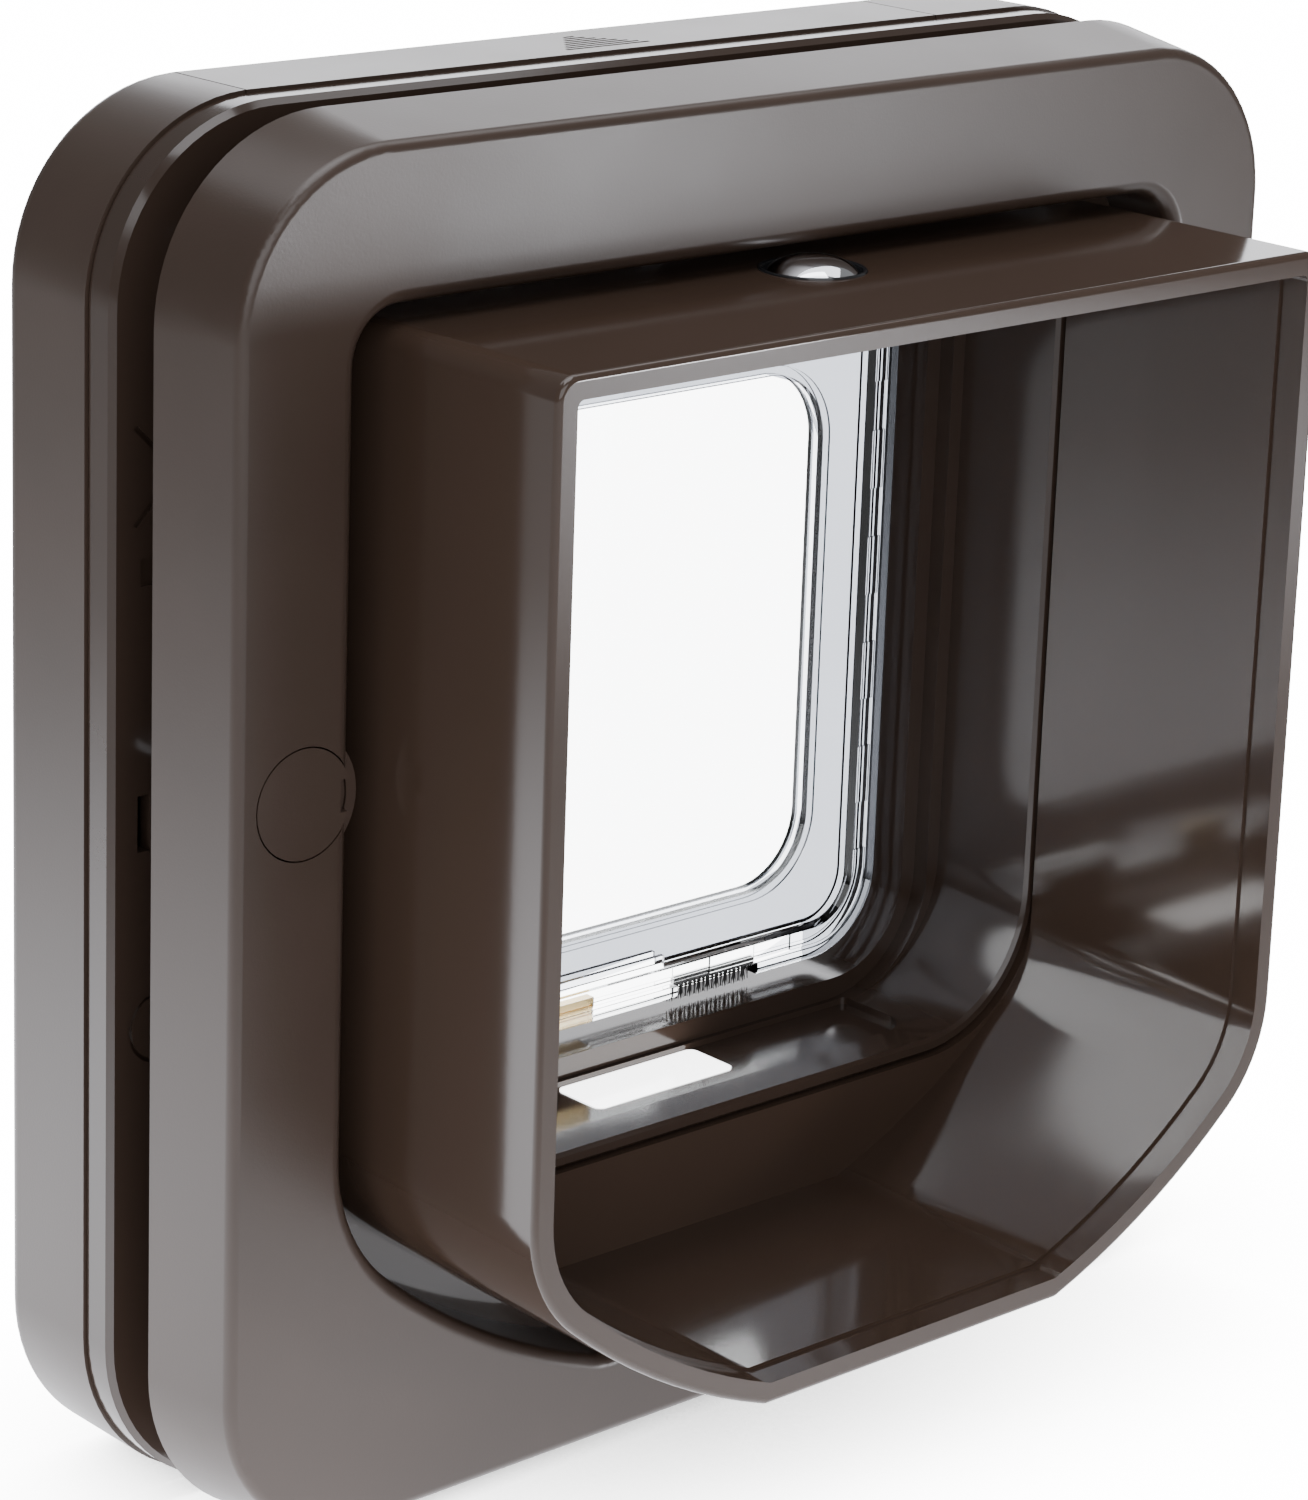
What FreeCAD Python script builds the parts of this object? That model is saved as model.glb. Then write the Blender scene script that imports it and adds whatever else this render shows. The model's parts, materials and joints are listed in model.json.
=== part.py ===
import FreeCAD, Part
import math
import os
import Sketcher

# Electronic cat flap for a door panel, seen from outdoors along +Y.
# X runs to the right, Y from outdoors into the room, Z up. The outdoor face of the
# door panel is y = 0, the flap's middle is x = 0 and both frames stand on z = 0.

os.makedirs("parts", exist_ok=True)
doc = FreeCAD.newDocument("cat_flap")
V = FreeCAD.Vector

# Driving dimensions, in millimetres and degrees
DRIVING = [
    ("frame_width", 210.0),
    ("frame_tall", 210.0),
    ("frame_corner", 28.0),
    ("surround_deep", 16.0),
    ("surround_lean", 2.6),
    ("surround_round", 1.8),
    ("skin", 2.6),
    ("hole_gap", 5.3),
    ("hole_drop", 25.3),
    ("hole_corner", 8.0),
    ("hole_round", 2.4),
    ("collar", 2.4),
    ("tunnel_side", 28.0),
    ("tunnel_drop", 28.2),
    ("tunnel_bottom", 21.0),
    ("tunnel_corner", 3.6),
    ("tunnel_front", 51.4),
    ("tunnel_wall", 4.0),
    ("chin_start", 43.0),
    ("chin_in", 8.2),
    ("chin_half", 30.8),
    ("chin_bow", 120.0),
    ("chin_round", 1.8),
    ("rim_step", 0.5),
    ("rim_deep", 5.0),
    ("rim_round", 1.0),
    ("flange_thick", 2.6),
    ("panel_gap", 10.5),
    ("plate_thick", 2.4),
    ("seam_deep", 5.4),
    ("housing_deep", 25.5),
    ("lip_inset", 0.5),
    ("seam_gap", 0.3),
    ("sleeve_side", 33.0),
    ("sleeve_drop", 36.0),
    ("sleeve_bottom", 43.6),
    ("sleeve_wall", 2.4),
    ("sleeve_low_corner", 22.0),
    ("sleeve_high_corner", 7.0),
    ("sleeve_out", 1.9),
    ("sleeve_end", 21.6),
    ("tray_side", 52.0),
    ("tray_front", 5.0),
    ("tray_back", 20.6),
    ("tray_deep", 1.0),
    ("tray_corner", 5.0),
    ("door_side", 38.6),
    ("door_drop", 38.4),
    ("door_bottom", 47.2),
    ("door_corner", 15.0),
    ("flap_side", 40.4),
    ("flap_drop", 39.8),
    ("flap_bottom", 49.4),
    ("flap_corner", 14.0),
    ("flap_middle", 28.6),
    ("flap_thick", 5.0),
    ("pane_rim", 16.6),
    ("pane_drop", 58.0),
    ("pane_bottom", 64.2),
    ("pane_corner", 12.0),
    ("pane_thick", 1.8),
    ("rim_wide", 6.4),
    ("rim_slope", 0.9),
    ("rim_bead_proud", 0.8),
    ("groove_in", 2.0),
    ("groove_wide", 0.7),
    ("groove_deep", 0.5),
    ("clip_pitch", 18.2),
    ("clip_gap", 8.3),
    ("clip_deep", 0.4),
    ("hinge_drop", 43.4),
    ("pin_radius", 1.5),
    ("pin_fit", 0.06),
    ("pin_long", 10.0),
    ("pin_out", 3.8),
    ("cap_radius", 8.1),
    ("cap_thick", 2.2),
    ("cap_side", 14.4),
    ("cap_share", 0.5524),
    ("cap_gap", 0.25),
    ("screw_radius", 2.0),
    ("head_radius", 4.0),
    ("head_tall", 2.6),
    ("sensor_radius", 8.2),
    ("sensor_back", 18.8),
    ("cell_radius", 7.1),
    ("cell_long", 49.4),
    ("cell_middle", -9.0),
    ("cover_left_side", 27.4),
    ("cover_right_side", 46.4),
    ("cover_drop", 34.4),
    ("knob_radius", 13.0),
    ("knob_height", 22.5),
    ("latch_away", 15.0),
    ("latch_wide", 9.0),
]

sheet = doc.addObject("Spreadsheet::Sheet", "sizes")
for row, (alias, number) in enumerate(DRIVING, start=1):
    sheet.set("A%d" % row, alias)
    sheet.set("B%d" % row, str(number))
    sheet.setAlias("B%d" % row, alias)
doc.recompute()


class Size:
    """A size as the expression that drives it and the number that it gives now."""

    def __init__(self, text, number):
        self.text = text
        self.number = float(number)

    def join(self, sign, other, number):
        return Size("(%s %s %s)" % (self.text, sign, other.text), number)

    def __add__(self, other):
        other = as_size(other)
        return self.join("+", other, self.number + other.number)

    def __sub__(self, other):
        other = as_size(other)
        return self.join("-", other, self.number - other.number)

    def __mul__(self, other):
        other = as_size(other)
        return self.join("*", other, self.number * other.number)

    def __truediv__(self, other):
        other = as_size(other)
        return self.join("/", other, self.number / other.number)

    def __neg__(self):
        return as_size(0) - self

    def __radd__(self, other):
        return as_size(other) + self

    def __rsub__(self, other):
        return as_size(other) - self

    def __rmul__(self, other):
        return as_size(other) * self


def as_size(value):
    if isinstance(value, Size):
        return value
    return Size(repr(float(value)), value)


class Sizes:
    """Reads a driving dimension by its name."""

    def __getattr__(self, name):
        return Size("sizes." + name, sheet.get(name))


size = Sizes()

# Heights measured down from the top edge, and half widths in from the side edge
for name in ("hole", "tunnel", "sleeve", "door", "flap", "pane"):
    setattr(size, name + "_top", size.frame_tall - getattr(size, name + "_drop"))
size.hinge_height = size.frame_tall - size.hinge_drop
size.cover_low = size.frame_tall - size.cover_drop
size.cap_height = size.frame_tall * size.cap_share
for name in ("tunnel", "sleeve", "tray", "door", "flap"):
    setattr(size, name + "_half", size.frame_width / 2 - getattr(size, name + "_side"))
size.pane_half = size.flap_half - size.pane_rim
size.cap_away = size.frame_width / 2 - size.cap_side
size.cover_left = size.frame_width / 2 - size.cover_left_side
size.cover_right = size.frame_width / 2 - size.cover_right_side

# Worked-out sizes of the chin, whose bowed sides meet the hood's round turns smoothly
worked = doc.addObject("App::VarSet", "worked")


def work_out(name, value):
    """A size worked out from others and kept by name for the outlines to use."""
    worked.addProperty("App::PropertyFloat", name)
    worked.setExpression(name, value.text)
    setattr(size, name, Size("worked." + name, value.number))


def root(value):
    return Size("sqrt(%s)" % value.text, math.sqrt(value.number))


work_out("chin_run", size.tunnel_half - size.chin_in - size.chin_half)
work_out("chin_rise", size.chin_start - size.tunnel_bottom)
work_out("chin_chord", root(size.chin_run * size.chin_run + size.chin_rise * size.chin_rise))
work_out("bend_sine", size.chin_chord / (2 * size.chin_bow))
work_out("bend_cosine", root(1 - size.bend_sine * size.bend_sine))
work_out("climb_sine", size.chin_rise / size.chin_chord)
work_out("climb_cosine", size.chin_run / size.chin_chord)
work_out("chin_sine", size.climb_sine * size.bend_cosine - size.climb_cosine * size.bend_sine)
work_out("chin_cosine", size.climb_cosine * size.bend_cosine + size.climb_sine * size.bend_sine)
work_out("knee_sine", size.climb_sine * size.bend_cosine + size.climb_cosine * size.bend_sine)
work_out("knee_cosine", size.climb_cosine * size.bend_cosine - size.climb_sine * size.bend_sine)
work_out("chin_slope", size.chin_sine / (1 + size.chin_cosine))
work_out("turn_radius", size.chin_in / (1 - size.knee_sine))
work_out("turn_start", size.chin_start + size.turn_radius * size.knee_cosine)
doc.recompute()

# Planes that sketches are drawn on, with the way their normal points
PLANES = {"X": "YZ_Plane", "Y": "XZ_Plane", "Z": "XY_Plane"}


def new_body(label):
    body = doc.addObject("PartDesign::Body", label)
    body.Label = label
    return body


def new_sketch(body, axis, place):
    """A sketch across the axis: at x or z = place, or at y = place."""
    sketch = body.newObject("Sketcher::SketchObject", body.Name + "_sketch")
    plane = [f for f in body.Origin.OriginFeatures if f.Role == PLANES[axis]][0]
    sketch.AttachmentSupport = [(plane, "")]
    sketch.MapMode = "FlatFace"
    place = as_size(place)
    if axis == "Y":
        place = -place
    sketch.AttachmentOffset.Base.z = place.number
    sketch.setExpression("AttachmentOffset.Base.z", place.text)
    return sketch


def fix_point(sketch, edge, end, x, z):
    for kind, value in (("DistanceX", x), ("DistanceY", z)):
        index = sketch.addConstraint(Sketcher.Constraint(kind, edge, end, value.number))
        sketch.setExpression("Constraints[%d]" % index, value.text)


def add_outline(sketch, points):
    """A closed outline. Each point is (x, z) or (x, z, radius) for an arc to the next one.
    A positive radius bulges to the right of the way walked, a negative one to the left."""
    points = [tuple(as_size(v) for v in p) for p in points]
    edges = []
    for here, there in zip(points, points[1:] + points[:1]):
        a = V(here[0].number, here[1].number, 0)
        b = V(there[0].number, there[1].number, 0)
        if len(here) == 2:
            edges.append(sketch.addGeometry(Part.LineSegment(a, b), False))
            continue
        radius = abs(here[2].number)
        side = 1 if here[2].number > 0 else -1
        half = (b - a).Length / 2
        rise = radius - math.sqrt(max(radius * radius - half * half, 0))
        across = V((b - a).y, -(b - a).x, 0).normalize() * (side * rise)
        edges.append(sketch.addGeometry(Part.Arc(a, (a + b) / 2 + across, b), False))
    for edge, here, there in zip(edges, points, points[1:] + points[:1]):
        start = sketch.getPoint(edge, 1)
        a = V(here[0].number, here[1].number, 0)
        first = 1 if start.distanceToPoint(a) < 1e-4 else 2
        fix_point(sketch, edge, first, here[0], here[1])
        following = edges[(edges.index(edge) + 1) % len(edges)]
        target = V(there[0].number, there[1].number, 0)
        met = 1 if sketch.getPoint(following, 1).distanceToPoint(target) < 1e-4 else 2
        sketch.addConstraint(Sketcher.Constraint("Coincident", edge, 3 - first, following, met))
        if len(here) == 3:
            radius = Size("abs(%s)" % here[2].text, abs(here[2].number))
            index = sketch.addConstraint(Sketcher.Constraint("Radius", edge, radius.number))
            sketch.setExpression("Constraints[%d]" % index, radius.text)


def box_points(x0, x1, z0, z1):
    return [(x0, z0), (x1, z0), (x1, z1), (x0, z1)]


def round_points(x0, x1, z0, z1, low, high):
    """A box outline with round corners, one radius at the bottom and one at the top."""
    x0, x1, z0, z1, low, high = (as_size(v) for v in (x0, x1, z0, z1, low, high))
    return [
        (x0 + low, z0),
        (x1 - low, z0, low),
        (x1, z0 + low),
        (x1, z1 - high, high),
        (x1 - high, z1),
        (x0 + high, z1, high),
        (x0, z1 - high),
        (x0, z0 + low, low),
    ]


def frame_points(inset):
    inset = as_size(inset)
    half = size.frame_width / 2 - inset
    corner = size.frame_corner - inset
    return round_points(-half, half, inset, size.frame_tall - inset, corner, corner)


def hood_points(out, top, corner, soften=0):
    """The hood's outline moved outwards by out: round turns and a bowed chin, whose two
    corners are sharp, or rounded by the radius soften."""
    out, top, corner = as_size(out), as_size(top), as_size(corner)
    half = size.tunnel_half + out
    bottom = size.tunnel_bottom - out
    chin = size.chin_half + size.chin_slope * out
    knee = size.tunnel_half - size.chin_in + size.knee_sine * out
    knee_up = size.chin_start - size.knee_cosine * out
    turn = size.turn_radius + out
    bow = size.chin_bow + out
    if soften:
        cut = size.chin_slope * soften
        along, up = cut * size.chin_cosine, cut * size.chin_sine
        low_left = [(-chin - along, bottom + up, soften), (-chin + cut, bottom)]
        low_right = [(chin - cut, bottom, soften), (chin + along, bottom + up, bow)]
    else:
        low_left, low_right = [(-chin, bottom)], [(chin, bottom, bow)]
    return low_left + low_right + [
        (knee, knee_up, turn),
        (half, size.turn_start),
        (half, top - corner, corner),
        (half - corner, top),
        (-half + corner, top, corner),
        (-half, top - corner),
        (-half, size.turn_start, turn),
        (-knee, knee_up, bow),
    ]


def tunnel_points(out, soften=0):
    out = as_size(out)
    return hood_points(out, size.tunnel_top + out, size.tunnel_corner + out * 0.7, soften)


def hole_points(out):
    """The opening of the surround round the hood, moved outwards by out."""
    out = as_size(out)
    corner = size.hole_corner + out
    return hood_points(size.hole_gap + out, size.hole_top + out, corner, corner)


def sleeve_points(out):
    out = as_size(out)
    half = size.sleeve_half + out
    low = size.sleeve_low_corner + out
    high = size.sleeve_high_corner + out
    return round_points(-half, half, size.sleeve_bottom - out, size.sleeve_top + out, low, high)


def ledge_points():
    """The narrower end of the sleeve, one step before the doorway."""
    half = size.sleeve_half - 2.6
    low = size.sleeve_low_corner - 2.6
    floor = size.sleeve_bottom
    return round_points(-half, half, floor, size.sleeve_top - 1, low, 4)


def flap_points(out):
    out = as_size(out)
    half = size.flap_half + out
    low = size.flap_corner + out
    return round_points(-half, half, size.flap_bottom - out, size.flap_top + out, low, low / 4)


def pane_points(out):
    out = as_size(out)
    half = size.pane_half + out
    low = size.pane_corner + out
    return round_points(-half, half, size.pane_bottom - out, size.pane_top + out, low, low)


def doorway_points(out):
    out = as_size(out)
    half = size.door_half + out
    low = size.door_corner + out
    return round_points(-half, half, size.door_bottom - out, size.door_top + out, low, low / 3)


def add_circle(sketch, x, z, radius):
    x, z, radius = as_size(x), as_size(z), as_size(radius)
    circle = Part.Circle(V(x.number, z.number, 0), V(0, 0, 1), radius.number)
    edge = sketch.addGeometry(circle, False)
    fix_point(sketch, edge, 3, x, z)
    index = sketch.addConstraint(Sketcher.Constraint("Radius", edge, radius.number))
    sketch.setExpression("Constraints[%d]" % index, radius.text)


def draw(sketch, shapes):
    """Outlines are lists of points, circles are (x, z, radius) in a tuple."""
    for shape in shapes:
        if isinstance(shape, tuple):
            add_circle(sketch, *shape)
        else:
            add_outline(sketch, shape)


def add_slab(body, axis, start, end, shapes, lean=None):
    """Adds what the outlines enclose, from start to end along the axis."""
    start, end = as_size(start), as_size(end)
    sketch = new_sketch(body, axis, end if axis == "Y" else start)
    draw(sketch, shapes)
    pad = body.newObject("PartDesign::Pad", body.Name + "_pad")
    pad.Profile = sketch
    deep = end - start
    pad.setExpression("Length", deep.text)
    if lean is not None:
        pad.setExpression("TaperAngle", lean)
    sketch.Visibility = False
    doc.recompute()
    return pad


def cut_slab(body, axis, start, end, shapes):
    """Takes away what the outlines enclose, from start to end along the axis."""
    start, end = as_size(start), as_size(end)
    before = body.Shape.Volume
    sketch = new_sketch(body, axis, start if axis == "Y" else end)
    draw(sketch, shapes)
    pocket = body.newObject("PartDesign::Pocket", body.Name + "_pocket")
    pocket.Profile = sketch
    pocket.Type = 0
    deep = end - start
    pocket.setExpression("Length", deep.text)
    sketch.Visibility = False
    doc.recompute()
    if body.Shape.Volume >= before - 1e-6:
        raise RuntimeError("%s removed nothing" % pocket.Name)
    return pocket


def round_edges(body, radius, choose, kind="Fillet"):
    """Rounds or chamfers the edges of the body's last feature that choose picks."""
    tip = body.Tip
    names = ["Edge%d" % (i + 1) for i, e in enumerate(tip.Shape.Edges) if choose(e)]
    feature = body.newObject("PartDesign::" + kind, body.Name + "_edge")
    feature.Base = (tip, names)
    prop = "Radius" if kind == "Fillet" else "Size"
    feature.setExpression(prop, as_size(radius).text)
    doc.recompute()
    return feature


def in_plane(axis, value, tolerance=0.01):
    """Chooses edges that lie wholly in the plane axis = value."""

    def choose(edge):
        box = edge.BoundBox
        low, high = getattr(box, axis + "Min"), getattr(box, axis + "Max")
        return abs(low - value) < tolerance and abs(high - value) < tolerance

    return choose


def both(*tests):
    return lambda edge: all(test(edge) for test in tests)


def longer(least):
    return lambda edge: edge.Length > least


def on_outline(points, tolerance=0.05):
    """Chooses edges that join two neighbouring points of an outline."""
    corners = [V(as_size(p[0]).number, 0, as_size(p[1]).number) for p in points]

    def choose(edge):
        ends = [V(v.X, 0, v.Z) for v in edge.Vertexes]
        return all(min(end.distanceToPoint(c) for c in corners) < tolerance for end in ends)

    return choose


# Planes that several pieces share
surround_front = -size.surround_deep
hood_front = -size.tunnel_front
plate_front = size.panel_gap
plate_back = size.panel_gap + size.plate_thick
seam = size.panel_gap + size.seam_deep
room_face = size.panel_gap + size.housing_deep
cover_inside = room_face - size.skin
flap_out = size.flap_middle - size.flap_thick / 2
flap_in = size.flap_middle + size.flap_thick / 2
cap_places = (-size.cap_away, size.cap_away)
board_back = size.panel_gap + 13.6
button_away = size.frame_width / 2 - 17
board_low = size.cap_height + 7.5
board_high = size.frame_tall - 36
button_height = board_low + 17.5
light_height = board_low + 28.5
motor_depth = size.panel_gap + 13.5
motor_height = as_size(20)
motor_radius = 6.0
cam_least = as_size(3)
cam_lift = as_size(5.5)
cam_turn = 165
latch_out_end = flap_out - 0.5
latch_out_start = latch_out_end - 2
latch_in_start = flap_in + 0.5
latch_in_end = latch_in_start + 1.4
flange_front = -size.flange_thick
well_floor = surround_front + 7
tray_floor = size.sleeve_bottom - size.tray_deep
sleeve_outside = size.sleeve_wall
step_back = size.sleeve_end + 1.6
tube_end = cover_inside - 0.2
battery_shelf = size.sleeve_top + size.sleeve_wall + 2
row_length = 2 * size.cell_long + 2
row_start = size.cell_middle - row_length / 2
row_end = size.cell_middle + row_length / 2
row_heights = (battery_shelf + size.cell_radius + 0.3, battery_shelf + size.cell_radius * 3 + 0.4)
row_back = cover_inside - size.cell_radius - 0.3


def four_places(side, rise):
    """Four like places, each so far in from the frame's sides and from its ends."""
    across = size.frame_width / 2 - side
    return [(x, z) for x in (-across, across) for z in (as_size(rise), size.frame_tall - rise)]


# Screw places, as x and z
FLANGE_SCREWS = four_places(19, 22)
SHELL_SCREWS = four_places(15, 26)


def cap_wells(radius):
    return [(x, size.cap_height, radius) for x in cap_places]


def round_holes(places, radius):
    return [(x, z, radius) for x, z in places]


def make_outer_surround():
    """Satin frame outdoors: a leaning rim, a softly rounded opening and two cap wells."""
    body = new_body("outer_surround")
    lean = "-atan(sizes.surround_lean / sizes.surround_deep)"
    add_slab(body, "Y", surround_front, 0, [frame_points(0)], lean)
    front = surround_front.number
    round_edges(body, size.surround_round, in_plane("Y", front))
    cut_slab(body, "Y", surround_front, 0, [hole_points(0)])
    round_edges(body, size.hole_round, both(in_plane("Y", front), on_outline(hole_points(0))))
    inside = size.surround_lean + size.skin
    cut_slab(body, "Y", surround_front + size.skin, 0, [frame_points(inside), hole_points(size.collar)])
    cut_slab(body, "Y", flange_front, 0, [frame_points(inside)])
    deep = surround_front + size.skin / 2
    add_slab(body, "Y", deep, flange_front, cap_wells(size.cap_radius + 2))
    add_slab(body, "Y", deep, flange_front, round_holes(FLANGE_SCREWS, 4.5))
    cut_slab(body, "Y", surround_front, well_floor, cap_wells(size.cap_radius + size.cap_gap))
    cut_slab(body, "Y", well_floor, flange_front, cap_wells(size.screw_radius + 0.3))
    cut_slab(body, "Y", flange_front - 9, flange_front, round_holes(FLANGE_SCREWS, 1.32))
    return body


def make_outer_tunnel():
    """Glossy hood outdoors on a flange that lies in the back of the surround."""
    body = new_body("outer_tunnel")
    inside = size.surround_lean + size.skin + 0.3
    opening = sleeve_points(sleeve_outside + 0.35)
    add_slab(body, "Y", flange_front, 0, [frame_points(inside), opening])
    outside = tunnel_points(0, size.chin_round)
    add_slab(body, "Y", hood_front, flange_front, [outside, tunnel_points(-size.tunnel_wall)])
    rim = hood_front.number
    round_edges(body, size.rim_round, both(in_plane("Y", rim), on_outline(outside)))
    step = size.rim_step - size.tunnel_wall
    cut_slab(body, "Y", hood_front, hood_front + size.rim_deep, [tunnel_points(step)])
    seat = (0, -size.sensor_back, size.sensor_radius)
    cut_slab(body, "Z", size.tunnel_top - 3, size.tunnel_top + 1, [seat])
    cut_slab(body, "Y", flange_front, 0, cap_wells(size.screw_radius + 0.3))
    cut_slab(body, "Y", flange_front, 0, round_holes(FLANGE_SCREWS, 1.6))
    cut_slab(body, "Y", -1.6, 0, round_holes(FLANGE_SCREWS, 3.1))
    return body


def make_sensor():
    """Light sensor in the hood's roof: a thin ring and a low domed lens."""
    seat = size.tunnel_top - 3
    ring = new_body("sensor_bezel")
    middle = -size.sensor_back
    outer = size.sensor_radius - 0.05
    add_slab(ring, "Z", seat, size.tunnel_top + 0.3, [(0, middle, outer), (0, middle, outer - 0.8)])
    lens = new_body("sensor_lens")
    add_slab(lens, "Z", seat, size.tunnel_top + 0.2, [(0, middle, outer - 1.7)])
    top = size.tunnel_top.number + 0.2
    round_edges(lens, 0.9, in_plane("Z", top), "Chamfer")
    return [ring, lens]


def make_screw_caps():
    """Push-in caps over the two clamp screws, with a pry notch on the hood's side."""
    caps = []
    for side, x in (("left", cap_places[0]), ("right", cap_places[1])):
        cap = new_body("screw_cap_" + side)
        z = size.cap_height
        add_slab(cap, "Y", surround_front, surround_front + size.cap_thick, [(x, z, size.cap_radius)])
        inner = surround_front + size.cap_thick
        add_slab(cap, "Y", inner, well_floor, [(x, z, 6.4), (x, z, 5.2)])
        turn = 1 if side == "left" else -1
        notch = box_points(x + turn * 6.4, x + turn * 9, z - 2.4, z + 2.4)
        cut_slab(cap, "Y", surround_front, surround_front + 1.4, [notch])
        caps.append(cap)
    return caps


def make_screws(label, places, parts):
    """Like screws as one group: parts are (start, end, radius) along Y."""
    pieces = []
    for number, (x, z) in enumerate(places, start=1):
        pieces.append([])
        for start, end, radius in parts:
            start, end = as_size(start), as_size(end)
            rod = doc.addObject("Part::Cylinder", label + "_rod")
            rod.setExpression("Radius", as_size(radius).text)
            rod.setExpression("Height", (end - start).text)
            rod.Placement = FreeCAD.Placement(V(0, 0, 0), FreeCAD.Rotation(V(1, 0, 0), -90))
            rod.setExpression("Placement.Base.x", as_size(x).text)
            rod.setExpression("Placement.Base.y", start.text)
            rod.setExpression("Placement.Base.z", as_size(z).text)
            pieces[-1].append(rod)
    screws = []
    for rods in pieces:
        joined = doc.addObject("Part::MultiFuse", label + "_screw")
        joined.Shapes = rods
        joined.Refine = True
        screws.append(joined)
    group = doc.addObject("Part::Compound", label)
    group.Label = label
    group.Links = screws
    doc.recompute()
    return group


def make_rear_shell():
    """Housing half that faces the door panel, with the sleeve through the panel, the
    flap's doorway, the battery shelf and the latch and motor guides in one moulding."""
    body = new_body("rear_shell")
    lip = size.lip_inset
    add_slab(body, "Y", plate_front, plate_back, [frame_points(lip)])
    round_edges(body, 0.9, in_plane("Y", plate_front.number), "Chamfer")
    add_slab(body, "Y", plate_back - 0.4, seam, [frame_points(lip), frame_points(lip + 2.4)])
    cut_slab(body, "Y", plate_front, plate_back, [sleeve_points(0)])
    start = -size.sleeve_out
    add_slab(body, "Y", start, step_back, [sleeve_points(sleeve_outside), sleeve_points(0)])
    round_edges(body, 0.6, in_plane("Y", start.number), "Chamfer")
    add_slab(body, "Y", size.sleeve_end - 3, size.sleeve_end, [sleeve_points(1), ledge_points()])
    add_slab(body, "Y", size.sleeve_end, step_back, [sleeve_points(1), doorway_points(0)])
    add_slab(body, "Y", size.sleeve_end, tube_end, [doorway_points(2.2), doorway_points(0)])
    half = size.tray_half
    tray = round_points(-half, half, size.tray_front, size.tray_back, size.tray_corner, 1)
    cut_slab(body, "Z", tray_floor, size.sleeve_bottom + 1, [tray])

    # Battery shelf with its two end walls
    low = size.sleeve_top + size.sleeve_wall - 0.4
    ends = (row_start - 3, row_end + 3)
    shelf = box_points(ends[0], ends[1], low, battery_shelf)
    add_slab(body, "Y", size.sleeve_end - 4, tube_end, [shelf])
    top = size.frame_tall - 4
    walls = [box_points(ends[0], ends[0] + 2, low, top), box_points(ends[1] - 2, ends[1], low, top)]
    add_slab(body, "Y", size.sleeve_end - 4, tube_end, walls)

    # Bosses, bearings and guides
    add_slab(body, "Y", plate_back - 0.4, plate_back + 14, cap_wells(5))
    cut_slab(body, "Y", plate_front, plate_back + 14, cap_wells(size.screw_radius + 0.02))
    post_places = [(button_away - 8.5, board_low + 4.5), (button_away + 8.5, board_high - 4)]
    add_slab(body, "Y", plate_back - 0.4, board_back - 1.6, round_holes(post_places, 2))
    cut_slab(body, "Y", plate_front, plate_back, round_holes(SHELL_SCREWS, 1.6))
    cut_slab(body, "Y", plate_front, plate_front + 1.5, round_holes(SHELL_SCREWS, 3.1))
    bearing = (size.flap_middle, size.hinge_height, size.pin_radius + size.pin_fit)
    cut_slab(body, "X", -size.door_half - 4, size.door_half + 4, [bearing])
    half = size.latch_wide / 2 + 0.3
    away = size.latch_away
    out_slot = box_points(-away - half, -away + half, step_back, latch_out_end + 0.2)
    in_slot = box_points(away - half, away + half, latch_in_start - 0.2, cover_inside)
    cut_slab(body, "Z", size.door_bottom - 3, size.door_bottom + 1, [out_slot, in_slot])
    rails = []
    for x in (-away - half - 1.6, -away + half):
        rails.append(box_points(x, x + 1.6, 26, 37.5))
    add_slab(body, "Y", plate_back - 0.4, latch_out_end, rails)
    cradle = [box_points(x, x + 2, motor_height - 7.5, motor_height + 7.5) for x in (25, 36)]
    add_slab(body, "Y", plate_back - 0.4, motor_depth, cradle)
    cut_slab(body, "X", 24, 39, [(motor_depth, motor_height, motor_radius + 0.04)])

    # Moulded marks on the face towards the panel: chevron, square, slot and ring
    mark = plate_front + 0.4
    left = -size.frame_width / 2 + 4.2
    middle = size.cap_height + 42.5
    chevron = [
        (left, middle + 6.9),
        (left + 6.8, middle),
        (left, middle - 6.9),
        (left + 0.7, middle - 7.3),
        (left + 7.9, middle),
        (left + 0.7, middle + 7.3),
    ]
    low = size.cap_height + 26.6
    square = box_points(left + 1.4, left + 5.4, low, low + 4)
    cut_slab(body, "Y", plate_front, mark, [chevron, square])
    ring = [(left + 5.2, size.cap_height - 39.6, radius) for radius in (5.6, 5.0)]
    cut_slab(body, "Y", plate_front, mark, ring)
    low = size.cap_height - 12.6
    cut_slab(body, "Y", plate_front, plate_back, [box_points(left + 1, left + 3.2, low, low + 8.4)])
    return body


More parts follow.
